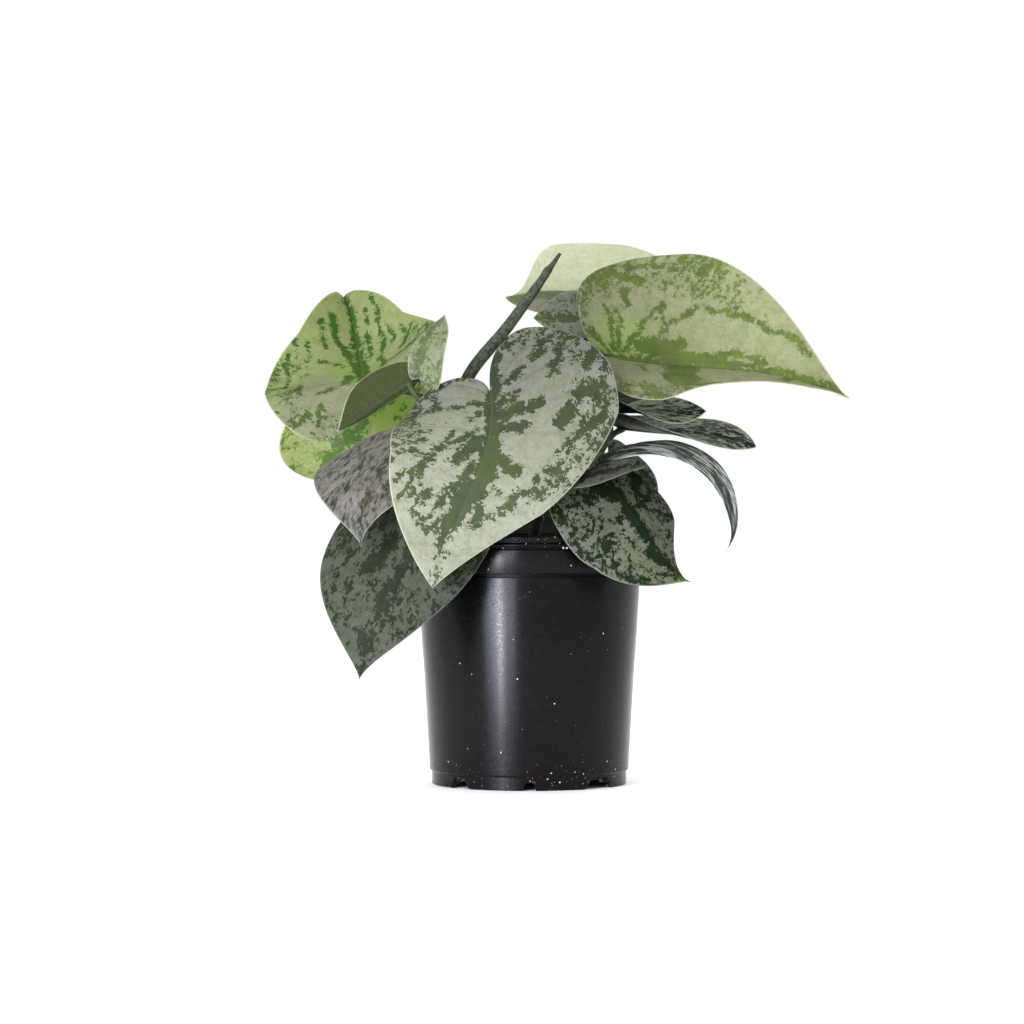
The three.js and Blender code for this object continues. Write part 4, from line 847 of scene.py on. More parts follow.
class Blade:
    """The fine mesh of one leaf: its middle surface on a grid, and what lies on it."""

    def __init__(self, leaf, look, seed):
        self.leaf, self.look, self.seed = leaf, look, seed
        reach = leaf["length"] + max(leaf["half"])
        spacing = np.interp(reach, BLADE_REACHES, (MESH_STEP * SMALL_MESH, MESH_STEP))
        self.rows = int(leaf["length"] / spacing)
        self.columns = int(max(leaf["half"]) / spacing)
        self.spine = spine_of(leaf)
        self.grid()
        self.relief()

    def grid(self):
        """Flat coordinates and places of every vertex. The tip's row is one vertex."""
        across = np.arange(-self.columns, self.columns + 1)
        along = np.linspace(0, 1, self.rows + 1)
        s, t = np.meshgrid(along, abs(across) / self.columns, indexing="ij")
        halves = [flat_points(self.leaf, side, s, t) for side in (0, 1)]
        on_right = np.broadcast_to(across >= 0, s.shape)
        x = np.where(on_right, halves[1][0], halves[0][0])
        y = np.where(on_right, halves[1][1], halves[0][1])
        bent = [bent_points(self.leaf, self.spine, side, x, y) for side in (0, 1)]
        places = np.where(on_right[..., None], bent[1], bent[0])
        self.index = np.arange(s.size).reshape(s.shape)
        self.index[-1] = self.index[-1, self.columns]
        margin_x = np.where(on_right, x[:, -1:], x[:, :1])
        margin_y = np.where(on_right, y[:, -1:], y[:, :1])
        self.edge = np.minimum(np.hypot(margin_x - x, margin_y - y), self.leaf["length"] - y + 0.2)
        self.s, self.t = s, t
        self.x, self.y = np.where(on_right, x, -x), y
        self.places = places.reshape(-1, 3)
        self.faces = self.quads(self.index)

    @staticmethod
    def quads(index):
        """Faces between the rows and columns of a grid of vertex numbers."""
        a, b, c, d = index[:-1, :-1], index[:-1, 1:], index[1:, 1:], index[1:, :-1]
        found = []
        for corners in np.stack((a, b, c, d), -1).reshape(-1, 4).tolist():
            face = list(dict.fromkeys(corners))
            if len(face) > 2:
                found.append(face)
        return found

    def relief(self):
        """Pillows between the side veins, a groove along the midrib and a slow wave."""
        pillow = abs(np.sin(math.pi * (self.s * self.look["veins"] + 0.25 * self.t)))
        inner = smooth(0.0, 0.25, self.t) * (1 - smooth(0.8, 1.0, self.t))
        wave = np.sin(self.x / 11 + self.seed) * np.sin(self.y / 14 + 2 * self.seed)
        ripple = np.sin(self.y / 6 + 3 * self.seed) * smooth(0.75, 1.0, self.t) * (1 - self.s)
        groove = np.exp(-((self.x / MIDRIB_WIDTH) ** 2)) * (1 - 0.8 * self.s)
        share = min(1.0, self.leaf["length"] / 90)
        swelling = PILLOW * inner * (pillow - 0.5) + WAVE * wave * self.t + RIPPLE * ripple
        self.raise_both = share * swelling - MIDRIB_GROOVE * groove
        self.ridge = MIDRIB_RIDGE * groove

    def wandering(self):
        """The flat coordinates pushed about, so that straight strokes look grown."""
        seed = 1.7 * self.seed
        slow, quick = 1.6 * self.look["wander"], 0.9 * self.look["wander"]
        x = self.x + slow * np.sin(self.y / 4.1 + seed)
        x = x + quick * np.sin(self.y / 1.9 + self.x / 3.1 + 2 * seed)
        y = self.y + slow * np.sin(self.x / 4.7 + seed)
        y = y + quick * np.sin(self.x / 2.2 - self.y / 3.7 + 3 * seed)
        return x, y

    def darkness(self):
        """How far a point lies inside the dark pattern, in mm, before the ragged edge is added."""
        look = self.look
        outer = smooth(look["band"] - 0.15, look["band"] + 0.15, self.t) * (1 - smooth(0.5, 0.75, self.s))
        base = between((look["lamina"], look["margin"]), outer)
        in_lobe = (1 - smooth(0.0, 0.12, self.s)) * smooth(0.2, 0.6, self.t)
        base = base + (look["margin"] - base) * in_lobe
        rib = look["rib"] - abs(self.x) * look["rib_width"] / 6 + 0.5
        dark = np.maximum(base, rib)
        light = np.full_like(dark, 9.0)
        x, y = self.wandering()
        for *ends, reach in look["marks"]:
            gap = stroke_gap(x, y, ends[:2], ends[2:])
            if reach > 0:
                dark = np.maximum(dark, reach - gap)
            else:
                light = np.minimum(light, gap + reach)
        return np.clip(np.minimum(dark, light), -5, 5)

    def tints_and_painted_light(self):
        """How fresh every point is, how deep it lies in painted shadow, and the painted light of its half.
        """
        fields = []
        for spots in (self.look["fresh"], self.look["painted_shadow"]):
            field = np.zeros_like(self.x)
            for x, y, reach in spots:
                gap = np.hypot(self.x - x, self.y - y) / reach
                field = np.maximum(field, 1 - smooth(0.35, 1.0, gap))
            fields.append(field)
        # painted light and shade of each half
        fields.append(between(self.look["halves"], smooth(-1.5, 1.5, self.x)))
        return np.stack(fields, -1)

    def shell(self):
        """Vertices, faces, face materials and rim of the closed blade, with a rounded margin."""
        normals = vertex_normals(self.places, self.faces)
        thick = (BLADE_THICKNESS / 2 * np.minimum(1, 0.45 + self.edge / 2.5)).reshape(-1, 1)
        lift = self.raise_both.reshape(-1, 1)
        upper = self.places + normals * (lift + thick)
        lower = self.places + normals * (lift - thick - self.ridge.reshape(-1, 1))
        count = len(upper)
        rim = self.rim()
        outward = unit(self.places[rim] - self.places[self.inner_of(rim)])
        middle = (upper[rim] + lower[rim]) / 2 + outward * BLADE_THICKNESS * 0.2
        following = np.roll(np.arange(len(rim)), -1)
        faces = self.faces + [[i + count for i in face[::-1]] for face in self.faces]
        rounds = 2 * count + np.arange(len(rim))
        for a, b in ((rim, rounds), (rounds, rim + count)):
            faces += np.stack((a[following], a, b, b[following]), -1).tolist()
        slots = np.zeros(len(faces), np.int32)
        slots[len(self.faces) : 2 * len(self.faces)] = 1
        return np.concatenate((upper, lower, middle)), faces, slots, rim

    def piece(self, name, materials):
        """The closed blade, with the pattern's coordinates stored at its vertices."""
        vertices, faces, slots, rim = self.shell()
        made = new_piece(name, vertices, faces, materials, slots)
        blade = np.stack((self.x, self.y, self.edge), -1)
        side = np.sign(self.x + 1e-6)
        fan = np.stack((self.s * self.leaf["length"], self.t * side, self.darkness()), -1)
        for key, vectors, at_rim in (
            ("blade", blade, (1, 1, 0)),
            ("fan", fan, (1, 1, 1)),
            ("tint_and_painted_light", self.tints_and_painted_light(), (1, 1, 1)),
        ):
            vectors = vectors.reshape(-1, 3)
            set_vectors(made, key, np.concatenate((vectors, vectors, vectors[rim] * at_rim)))
        self.drop_loose(made)
        return made

    def rim(self):
        """Vertex numbers round the open edge, in order, with the upper face on the left."""
        right = self.index[:, -1]
        left = self.index[:-1, 0]
        sinus_right = self.index[0, self.columns : -1]
        sinus_left = self.index[0, 1 : self.columns]
        return np.concatenate((sinus_left, sinus_right, right, left[::-1]))

    def inner_of(self, rim):
        """The neighbour further in of each vertex on the rim."""
        inner = self.index.copy()
        inner[0] = self.index[1]
        inner[:, 0] = self.index[:, 1]
        inner[:, -1] = self.index[:, -2]
        inner[-1] = self.index[-2, self.columns]
        flat = np.empty(self.index.size, int)
        flat[self.index[::-1].ravel()] = inner[::-1].ravel()
        return flat[rim]

    @staticmethod
    def drop_loose(piece):
        """Removes the tip row's spare vertices."""
        work = bmesh.new()
        work.from_mesh(piece.data)
        bmesh.ops.delete(work, geom=[v for v in work.verts if not v.link_faces], context="VERTS")
        bmesh.ops.recalc_face_normals(work, faces=work.faces)
        work.to_mesh(piece.data)
        work.free()


# ---------------------------------------------------------------- leaves: material
def varied(colour, factors):
    """A linear colour with each channel multiplied, kept below a matt white."""
    return [min(channel * factor, BRIGHTEST) for channel, factor in zip(colour, factors)] + [1]


def leaf_pattern(tree, look, flat, along, across, darkness, seed):
    """1 in the green parts and 0 in the silver ones."""
    streaks = shifted(tree, combined(tree, along, times(tree, across, 14.0)), seed * 3.1)
    reach = darkness
    for noise_value, strength in (
        (fog(tree, streaks, 5.0, 3.0, 0.6), 8.0 / look["stretch"]),
        (fog(tree, flat, 3.0, 3.0, 0.7), 3.4),
        (patches(tree, flat, 2.1), 2.4),
        (patches(tree, flat, 1.05), 2.3),
        (patches(tree, flat, 0.6), 1.2),
    ):
        reach = maths(tree, "MULTIPLY_ADD", noise_value, strength * look["ragged"], reach)
    return step(tree, reach, -look["soft"], look["soft"])


def own_colour(tree, look, flat, blotches, dark, fresh, vein):
    """The upper face's own colour."""
    silver, deep = linear(look["silver"]), linear(look["dark"])
    pale = mixed(tree, step(tree, blotches, -0.14, 0.14), silver, varied(silver, SILVER_SHADED))
    dusty = times(tree, step(tree, patches(tree, flat, 0.75), 0.1, 0.3), 0.45)
    pale = mixed(tree, dusty, pale, varied(silver, SILVER_DUSTY))
    green = mixed(tree, step(tree, blotches, -0.12, 0.16), deep, varied(deep, GREEN_DEEP))
    olive = times(tree, step(tree, fog(tree, flat, 16.0), 0.0, 0.1), 0.5)
    green = mixed(tree, olive, green, varied(deep, GREEN_OLIVE))
    colour = mixed(tree, dark, pale, green)
    colour = mixed(tree, times(tree, vein, look["vein"]), colour, green)
    young = mixed(tree, dark, linear(FRESH_PALE), linear(FRESH_GREEN))
    return mixed(tree, times(tree, fresh, 0.45), colour, young), young


def glow_colour(tree, look, flat, blotches, dark, vein):
    """The colour of the light that comes through."""
    glow_pale, glow_green = (linear(c) for c in look["glow"])
    thicker = times(tree, step(tree, blotches, -0.1, 0.2), look["mottle"])
    thin = mixed(tree, thicker, glow_pale, varied(glow_pale, GLOW_THICK))
    dots = times(tree, step(tree, patches(tree, flat, 0.85), 0.0, 0.3), 0.55 * look["mottle"])
    thin = mixed(tree, dots, thin, varied(glow_pale, GLOW_DOTTED))
    glow = mixed(tree, dark, thin, glow_green)
    return mixed(tree, times(tree, vein, look["vein"]), glow, glow_green)


def with_midrib(tree, look, colour, x, y):
    """The upper face with its midrib drawn, fading towards the tip."""
    line = step(tree, maths(tree, "ABSOLUTE", x), 0.3, 0.75, look["line"], 0.0)
    line = times(tree, line, step(tree, y, 0.0, look["length"] * 0.8, 1.0, 0.0))
    return mixed(tree, line, colour, varied(linear(look["silver"]), MIDRIB_LINE))


def lower_colour(tree, look, vein):
    """The plain lower face with paler veins."""
    under = linear(look["under"])
    return mixed(tree, times(tree, vein, 0.2), under, varied(under, VEIN_BELOW))


def painted_leaf_light(tree, look, y, painted_shadow, light):
    """Painted light and shade: brightness along the blade, of its halves and in painted shadow."""
    painted_light = step(tree, y, -0.3 * look["length"], 0.75 * look["length"], *look["painted_light"])
    return times(tree, step(tree, painted_shadow, 0.0, 1.0, 1.0, PAINTED_SHADOW_TONE), times(tree, painted_light, light))


def leaf_normal(tree, flat, vein, dark, is_upper):
    """A fine grain, and veins and green parts that are sunk above. Below, the veins stand out."""
    grain = times(tree, fog(tree, flat, 0.7, 2.0), 0.25)
    quilt = times(tree, vein, -0.12 if is_upper else 0.15)
    blister = times(tree, dark, -0.15 if is_upper else 0.0)
    return bumped(tree, maths(tree, "ADD", maths(tree, "ADD", grain, quilt), blister), 0.5)


def leaf_face(name, look, seed, is_upper):
    """One face of a blade: the silver pattern above, or the plain pale green below."""
    material, tree = new_material(name)
    x, y, edge = parts(tree, attribute(tree, "blade"))
    along, across, darkness = parts(tree, attribute(tree, "fan"))
    fresh, painted_shadow, light = parts(tree, attribute(tree, "tint_and_painted_light"))
    drawn_in = maths(tree, "DIVIDE", y, look["stretch"])
    flat = shifted(tree, combined(tree, x, drawn_in), seed * 7.3)
    dark = leaf_pattern(tree, look, flat, along, across, darkness, seed)
    wave = maths(tree, "PINGPONG", times(tree, along, look["veins"] / look["length"]), 0.5)
    vein = step(tree, wave, 0.0, 0.1, 1.0, 0.0)
    blotches = maths(tree, "MULTIPLY_ADD", patches(tree, flat, 1.4), 0.12, fog(tree, flat, 6.0, 5.0, 0.7))
    colour, young = own_colour(tree, look, flat, blotches, dark, fresh, vein)
    glow = mixed(tree, fresh, glow_colour(tree, look, flat, blotches, dark, vein), young)
    colour = with_midrib(tree, look, colour, x, y) if is_upper else lower_colour(tree, look, vein)
    # a pale margin: partly the blade's own pale edge, partly a painted highlight on the edge
    margin = step(tree, edge, 0.2, 0.6, 0.8, 0.0)
    colour = mixed(tree, margin, colour, varied(linear(look["silver"]), MARGIN_PALE_AND_HIGHLIGHT))
    # painted light and shade, multiplied into the colour of the skin and of the light that comes through
    painted_light = painted_leaf_light(tree, look, y, painted_shadow, light)
    normal = leaf_normal(tree, flat, vein, dark, is_upper)
    skin = principled(
        tree,
        {
            "Base Color": scaled(tree, colour, painted_light),
            "Roughness": step(tree, dark, 0.0, 1.0, 0.6, 0.46),
            "Specular IOR Level": look["gloss"],
            "Normal": normal,
        },
    )
    inputs = {"Color": scaled(tree, glow, painted_light), "Normal": normal}
    through = node(tree, "ShaderNodeBsdfTranslucent", inputs)
    # Painted shadow: less light comes through in its fields.
    share = step(tree, painted_shadow, 0.0, 1.0, look["through"], look["through"] * PAINTED_SHADOW_THROUGH)
    shown(tree, node(tree, "ShaderNodeMixShader", {0: share, 1: skin.outputs[0], 2: through.outputs[0]}))
    return material


def make_leaves():
    """Every leaf as a fine blade in place of its CAD node."""
    for number, (name, sizes) in enumerate(LEAVES.items()):
        leaf = {**PLAIN_LEAF, **sizes}
        look = {**PLAIN_LOOK, **LOOKS[name], "length": leaf["length"]}
        seed = number + 1
        materials = [
            leaf_face(name + "_upper", look, seed, True),
            leaf_face(name + "_lower", look, seed, False),
        ]
        blade = Blade(leaf, look, seed)
        dress(blade.piece(name + "_blade", materials), slot_of(name), name)


# ---------------------------------------------------------------- vines
def through_points(points, count=400):
    """A smooth line through points: a centripetal Catmull-Rom spline."""
    points = np.array(points, float)
    ends = [2 * points[0] - points[1], *points, 2 * points[-1] - points[-2]]
    line = []
    for p0, p1, p2, p3 in zip(ends, ends[1:], ends[2:], ends[3:]):
        d0, d1, d2 = (np.linalg.norm(b - a) ** 0.5 for a, b in ((p0, p1), (p1, p2), (p2, p3)))
        m1 = ((p1 - p0) / d0 - (p2 - p0) / (d0 + d1) + (p2 - p1) / d1) * d1
        m2 = ((p2 - p1) / d1 - (p3 - p1) / (d1 + d2) + (p3 - p2) / d2) * d1
        for share in np.arange(0, 1, (len(points) - 1) / count):
            cube = np.array((1, share, share**2, share**3))
            terms = np.array((p1, m1, -3 * p1 + 3 * p2 - 2 * m1 - m2, 2 * p1 - 2 * p2 + m1 + m2))
            line.append(cube @ terms)
    line.append(points[-1])
    return np.array(line)


def bezier(points, count=200):
    """A cubic Bezier curve as points."""
    t = np.linspace(0, 1, count)[:, None]
    a, b, c, d = np.array(points, float)
    return (1 - t) ** 3 * a + 3 * (1 - t) ** 2 * t * b + 3 * (1 - t) * t**2 * c + t**3 * d


def evenly(line, count):
    """A line as points an equal distance apart."""
    gone = np.concatenate(([0], np.cumsum(np.linalg.norm(np.diff(line, axis=0), axis=1))))
    wanted = np.linspace(0, gone[-1], count)
    return np.stack([np.interp(wanted, gone, line[:, k]) for k in range(3)], -1)


def frames_along(line):
    """Tangent and two axes across it at every point, without twist."""
    tangents = unit(np.gradient(line, axis=0))
    normal = unit(np.cross(tangents[0], (0.3, 1.0, 0.1)))
    axes = []
    for tangent in tangents:
        normal = unit(normal - tangent * (normal @ tangent))
        axes.append((tangent, normal, np.cross(tangent, normal)))
    return np.array(axes)


def tube(line, radius_of, sides):
    """Vertices, faces and coordinates of a closed round tube. radius_of(share, angle) is in mm."""
    axes = frames_along(line)
    share = np.linspace(0, 1, len(line))[:, None]
    angle = np.linspace(0, 2 * math.pi, sides, endpoint=False)[None, :]
    radius = radius_of(share, angle)
    across = axes[:, None, 1] * np.cos(angle)[..., None] + axes[:, None, 2] * np.sin(angle)[..., None]
    vertices = (line[:, None] + across * radius[..., None]).reshape(-1, 3)
    last = (len(line) - 1) * sides
    caps = [list(range(sides))[::-1], [last + k for k in range(sides)]]
    share, angle = (np.broadcast_to(value, radius.shape).ravel() for value in (share, angle))
    return vertices, bands(len(line), sides) + caps, share, angle


def stem_radius(radii, rings):
    """Radius along a vine: its named radii, a swelling at every node and the roll of a young tip."""
    is_rolled = radii[-1] < 1

    def radius_of(share, angle):
        radius = np.interp(share, np.linspace(0, 1, len(radii)), radii)
        for place in rings:
            radius = radius + NODE_SWELLING * np.exp(-(((share - place) / NODE_REACH) ** 2))
        rolled = smooth(0.6, 0.75, share) * is_rolled
        seam = ROLL_SEAM * rolled * smooth(0, 1, angle / (2 * math.pi))
        mouth = ROLL_MOUTH * rolled * smooth(0.915, 0.945, share) * (1 - smooth(0.945, 0.96, share))
        radius = radius + mouth * (0.6 + 0.4 * np.cos(angle))
        return radius * (1 + seam) + 0.06 * np.sin(3 * angle + 9 * share)

    return radius_of


def petiole_radius(share, angle):
    """A petiole's radius: a clasping base, a channel along its upper side and a swollen neck."""
    base = PETIOLE_BASE * (1 - smooth(0.0, 0.16, share))
    neck = PETIOLE_NECK * smooth(0.86, 0.94, share) * (1 - smooth(0.97, 1.0, share))
    channel = PETIOLE_CHANNEL * np.exp(-(((angle - math.pi) / 0.5) ** 2)) * smooth(0.1, 0.3, share)
    return PETIOLE_RADIUS + base + neck - channel


def petiole_line(stem, tangents, start_share, via, leaf):
    """The line of one petiole, from inside its vine to the leaf it carries."""
    k = int(round(start_share * (len(stem) - 1)))
    start, rise = stem[k], tangents[k]
    steps, places, axes = spine_of(leaf)
    k = int(np.argmin(abs(steps)))
    place, (along, _, up) = places[k], axes[k]
    end = place - up * BLADE_THICKNESS * 0.7
    if via:
        return through_points([start, *via, end])
    arrival = unit(up * (1 - PETIOLE_ALONG) + along * PETIOLE_ALONG)
    span = np.linalg.norm(end - start)
    leaving, arriving = start + rise * span * PETIOLE_RISE, end - arrival * span * PETIOLE_REACH
    return bezier((start, leaving, arriving, end))


def stalks_of(vine):
    """The tubes of a vine and its petioles, each with 0 for the vine and 1 for a petiole."""
    path = [(*vine["foot"], height) for height in FOOT_HEIGHTS] + list(vine["path"])
    stem = evenly(through_points(path), STEM_STEPS)
    tangents = unit(np.gradient(stem, axis=0))
    rings = sorted({place for place, _ in vine["petioles"].values()})
    yield tube(stem, stem_radius(vine["radii"], rings), STEM_SIDES), 0.0
    for leaf_name, (place, via) in vine["petioles"].items():
        leaf = {**PLAIN_LEAF, **LEAVES[leaf_name]}
        line = evenly(petiole_line(stem, tangents, place, via, leaf), PETIOLE_STEPS)
        yield tube(line, petiole_radius, PETIOLE_SIDES), 1.0


def make_vines():
    """Every vine with its petioles, as one piece in place of its CAD node."""
    material = stem_material()
    for name, vine in VINES.items():
        vertices, faces, facts = [], [], []
        for (points, quads, share, angle), kind in stalks_of(vine):
            offset = sum(len(v) for v in vertices)
            faces += [[i + offset for i in quad] for quad in quads]
            vertices.append(points)
            facts.append(np.stack((share, angle, np.full(len(share), kind)), -1))
        made = new_piece(name + "_stalks", np.concatenate(vertices), faces, [material])
        set_vectors(made, "stalk", np.concatenate(facts))
        dress(made, slot_of(name), name)


def stem_material():
    """Olive-brown stems with fine lengthwise streaks, greener petioles and pale corky flecks.
    Painted shade darkens them towards the soil.
    """
    material, tree = new_material("stalk_skin")
    share, angle, kind = parts(tree, attribute(tree, "stalk"))
    place = place_of(tree)
    spots = fog(tree, place, 2.2 * MM, 4.0, 0.65)
    streaks = fog(tree, combined(tree, times(tree, angle, 3.0), share), 0.6, 3.0, 0.6)
    brown = mixed(tree, step(tree, spots, -0.12, 0.12), *(linear(colour) for colour in STEM_BROWN))
    green = mixed(tree, step(tree, streaks, -0.15, 0.15), *(linear(colour) for colour in PETIOLE_GREEN))
    skin = mixed(tree, kind, brown, green)
    # painted shade: the stems darken towards the soil, under the leaves
    lowest, highest = (height * MM for height in STEM_SHADE_HEIGHTS)
    low = step(tree, parts(tree, place)[2], lowest, highest, 0.6, 0.0)
    skin = mixed(tree, low, skin, linear(STEM_SHADE))
    flecks = times(tree, step(tree, spots, 0.2, 0.24), 0.6)
    shader = principled(
        tree,
        {
            "Base Color": mixed(tree, flecks, skin, linear(STEM_FLECK)),
            "Roughness": step(tree, spots, -0.2, 0.2, 0.42, 0.6),
            "Specular IOR Level": 0.12,
            "Normal": bumped(tree, maths(tree, "ADD", streaks, spots), 0.5),
        },
    )
    shown(tree, shader)
    return material


# ---------------------------------------------------------------- pot
def pot_profile():
    """The pot's wall, outside then inside, as (radius, height)."""
    inner_band = BAND_RADIUS - POT_WALL
    inner_top = BODY_TOP_RADIUS - POT_WALL
    inner_low = BODY_LOW_RADIUS - POT_WALL
    return (
        (PAD_RADIUS, 0),
        (PAD_RADIUS + PAD_SLOPE, RECESS_HEIGHT),
        (FOOT_RADIUS - 3 * FOOT_WIDTH, RECESS_HEIGHT),
        (FOOT_RADIUS - FOOT_WIDTH, 1.2),
        (FOOT_RADIUS - FOOT_WIDTH, 0),
        (FOOT_RADIUS - 0.5, 0),
        (FOOT_RADIUS, 0.6),
        (FOOT_RADIUS, FOOT_HEIGHT),
        (BODY_LOW_RADIUS, FOOT_HEIGHT + 1.2),
        (BODY_TOP_RADIUS, GROOVE_HEIGHT + 0.3),
        (BODY_TOP_RADIUS - GROOVE_DEPTH, GROOVE_HEIGHT + 0.6),
        (BODY_TOP_RADIUS - GROOVE_DEPTH, GROOVE_HEIGHT + 2.6),
        (BAND_RADIUS - 0.6, GROOVE_HEIGHT + 2.9),
        (BAND_RADIUS, BAND_TOP),
        (BAND_RADIUS - NECK, BAND_TOP + 1.0),
        (BAND_RADIUS - NECK, BAND_TOP + 1.4),
        (BAND_RADIUS - 0.6, BAND_TOP + 1.8),
        (BAND_RADIUS - 0.2, BAND_TOP + 2.4),
        (BAND_RADIUS - 0.2, BAND_TOP + 3.0),
        (BAND_RADIUS - 0.6, BAND_TOP + 3.6),
        (BAND_RADIUS - NECK, LIP_LOW - 0.6),
        (BAND_RADIUS - NECK, LIP_LOW - 0.1),
        (LIP_RADIUS - 0.1, LIP_LOW),
        (LIP_RADIUS, POT_HEIGHT - 1.2),
        (LIP_RADIUS - 0.8, POT_HEIGHT),
        (LIP_RADIUS - 1.8, POT_HEIGHT),
        (inner_band - 0.6, POT_HEIGHT - 1.4),
        (inner_top - 0.4, GROOVE_HEIGHT + 4.2),
        (inner_top - 0.4, GROOVE_HEIGHT - 2),
        (inner_low, POT_FLOOR_TOP + 1.5),
        (inner_low - 1.5, POT_FLOOR_TOP),
        (PAD_RADIUS - POT_WALL + PAD_SLOPE, POT_FLOOR_TOP),
        (PAD_RADIUS - POT_WALL, PAD_TOP),
    )


def lathe(profile, sides):
    """Vertices and faces turned about the axis from (radius, height) points, and closed on it."""
    angle = np.linspace(0, 2 * math.pi, sides, endpoint=False)
    around = np.stack((np.cos(angle), np.sin(angle)), -1)
    vertices = [(r * c, r * s, z) for r, z in profile for c, s in around]
    faces = bands(len(profile), sides)
    last = (len(profile) - 1) * sides
    for ring, height, flip in ((0, profile[0][1], True), (last, profile[-1][1], False)):
        centre = len(vertices)
        vertices.append((0, 0, height))
        for k in range(sides):
            edge = [ring + k, ring + (k + 1) % sides]
            faces.append([*(edge[::-1] if flip else edge), centre])
    return np.array(vertices), faces


def notch_cutter(i):
    """The i-th drain notch as a wedge through the foot ring."""
    width = NOTCH_WIDTHS[i % len(NOTCH_WIDTHS)] / 2
    height = NOTCH_HEIGHTS[i % len(NOTCH_HEIGHTS)]
    outline = ((-width, -1), (width, -1), (width / 2, height), (-width / 2, height))
    turn = Matrix.Rotation(math.radians(NOTCH_START + 360 * i / NOTCH_COUNT), 4, "Z")
    corners = [turn @ Vector((x, y - FOOT_RADIUS, z)) for y in NOTCH_RUN for x, z in outline]
    faces = [[0, 1, 2, 3], [7, 6, 5, 4], [0, 4, 5, 1], [1, 5, 6, 2], [2, 6, 7, 3], [3, 7, 4, 0]]
    return new_piece(f"notch_{i}", corners, faces, [])


def cut(piece, cutters):
    """Cuts the cutters out of a piece and removes them."""
    for cutter in cutters:
        modifier = piece.modifiers.new("cut", "BOOLEAN")
        modifier.operation = "DIFFERENCE"
        modifier.solver = "EXACT"
        modifier.object = cutter
    apply_modifiers(piece)
    for cutter in cutters:
        bpy.data.objects.remove(cutter)


def apply_modifiers(piece):
    """Makes what the modifiers show the piece's own mesh."""
    graph = bpy.context.evaluated_depsgraph_get()
    mesh = bpy.data.meshes.new_from_object(piece.evaluated_get(graph))
    piece.modifiers.clear()
    piece.data = mesh


def make_pot():
    """The nursery pot, with its drain notches and softened edges."""
    vertices, faces = lathe(pot_profile(), POT_SIDES)
    pot = new_piece("nursery_pot", vertices, faces, [plastic_material()])
    cut(pot, [notch_cutter(i) for i in range(NOTCH_COUNT)])
    bevel = pot.modifiers.new("edges", "BEVEL")
    bevel.width = POT_BEVEL * MM
    bevel.segments = 2
    bevel.limit_method = "ANGLE"
    bevel.angle_limit = math.radians(POT_BEVEL_ANGLE)
    apply_modifiers(pot)
    pot.data.shade_smooth()
    pot.data.set_sharp_from_angle(angle=math.radians(POT_SHARP_ANGLE))
    dress(pot, slot_of("pot"), "pot")


def specks(tree, place, share, spacing):
    """Dots of dried soil and perlite dust, more of them where share is higher."""
    dots = node(tree, "ShaderNodeTexVoronoi", {"Vector": place, "Scale": 1 / spacing})
    chance = parts(tree, dots.outputs["Color"])
    shown_here = maths(tree, "LESS_THAN", chance[0], step(tree, share, 0.0, 1.0, 0.03, 0.42))
    size = times(tree, chance[1], 0.2)
    return times(tree, shown_here, maths(tree, "LESS_THAN", dots.outputs["Distance"], size))


def plastic_colour(tree, place, film, fine, height):
    """Near black under a thin film, with pale scuffs, and specks of soil near the foot and the rim."""
    colour = mixed(tree, film, *(linear(colour) for colour in PLASTIC))
    scuffs = times(tree, step(tree, fine, 0.27, 0.3), 0.35)
    colour = mixed(tree, scuffs, colour, linear(SCUFF))
    nearest, furthest = (reach * MM for reach in CLEAN_REACH)
    soiled = step(tree, away(tree, height, CLEAN_HEIGHT * MM), nearest, furthest)
    colour = mixed(tree, specks(tree, place, soiled, 2.2 * MM), colour, linear(DUST))
    return mixed(tree, specks(tree, place, soiled, 1.3 * MM), colour, linear(DRIED_SOIL))


def plastic_roughness(tree, place, film, height):
    """Satin, gritty, and duller in the groove."""
    grit = fog(tree, place, 0.7 * MM, 2.0, 0.8)
    groove = step(tree, away(tree, height, GROOVE_MIDDLE * MM), 1.0 * MM, 1.8 * MM, 1.0, 0.0)
    rough = step(tree, film, 0.0, 1.0, 0.28, 0.32)
    return maths(tree, "MULTIPLY_ADD", grit, 0.5, maths(tree, "MULTIPLY_ADD", groove, 0.3, rough))


def plastic_material():
    """Black moulded plastic with a highlight that is drawn out in one direction."""
    material, tree = new_material("black_plastic")
    place = place_of(tree)
    height = parts(tree, place)[2]
    film = step(tree, fog(tree, place, 5 * MM, 6.0, 0.7), -0.15, 0.25)
    fine = fog(tree, place, 0.8 * MM, 3.0, 0.6)
    turning = node(tree, "ShaderNodeTangent", direction_type="RADIAL", axis="Z")
    shader = principled(
        tree,
        {
            "Base Color": plastic_colour(tree, place, film, fine, height),
            "Roughness": plastic_roughness(tree, place, film, height),
            "Specular IOR Level": 0.14,
            "Anisotropic": 0.82,
            "Anisotropic Rotation": 0.25,
            "Tangent": turning.outputs[0],
            "Normal": bumped(tree, fine, 0.012),
        },
    )
    shown(tree, shader)
    return material


# ---------------------------------------------------------------- soil
def make_soil():
    """The potting mix as a crumbly mound, with crumbs, bark and perlite strewn about."""
    material = soil_material()
    vertices, faces = soil_mound()
    dress(new_piece("potting_mix", vertices, faces, [material]), "soil", "soil")
    make_crumbs(material)


def mound_height(radius):
    """Height of the soil's surface at a distance from the axis."""
    share = radius / SOIL_RADIUS
    return SOIL_CROWN - (SOIL_CROWN - SOIL_EDGE) * share**2


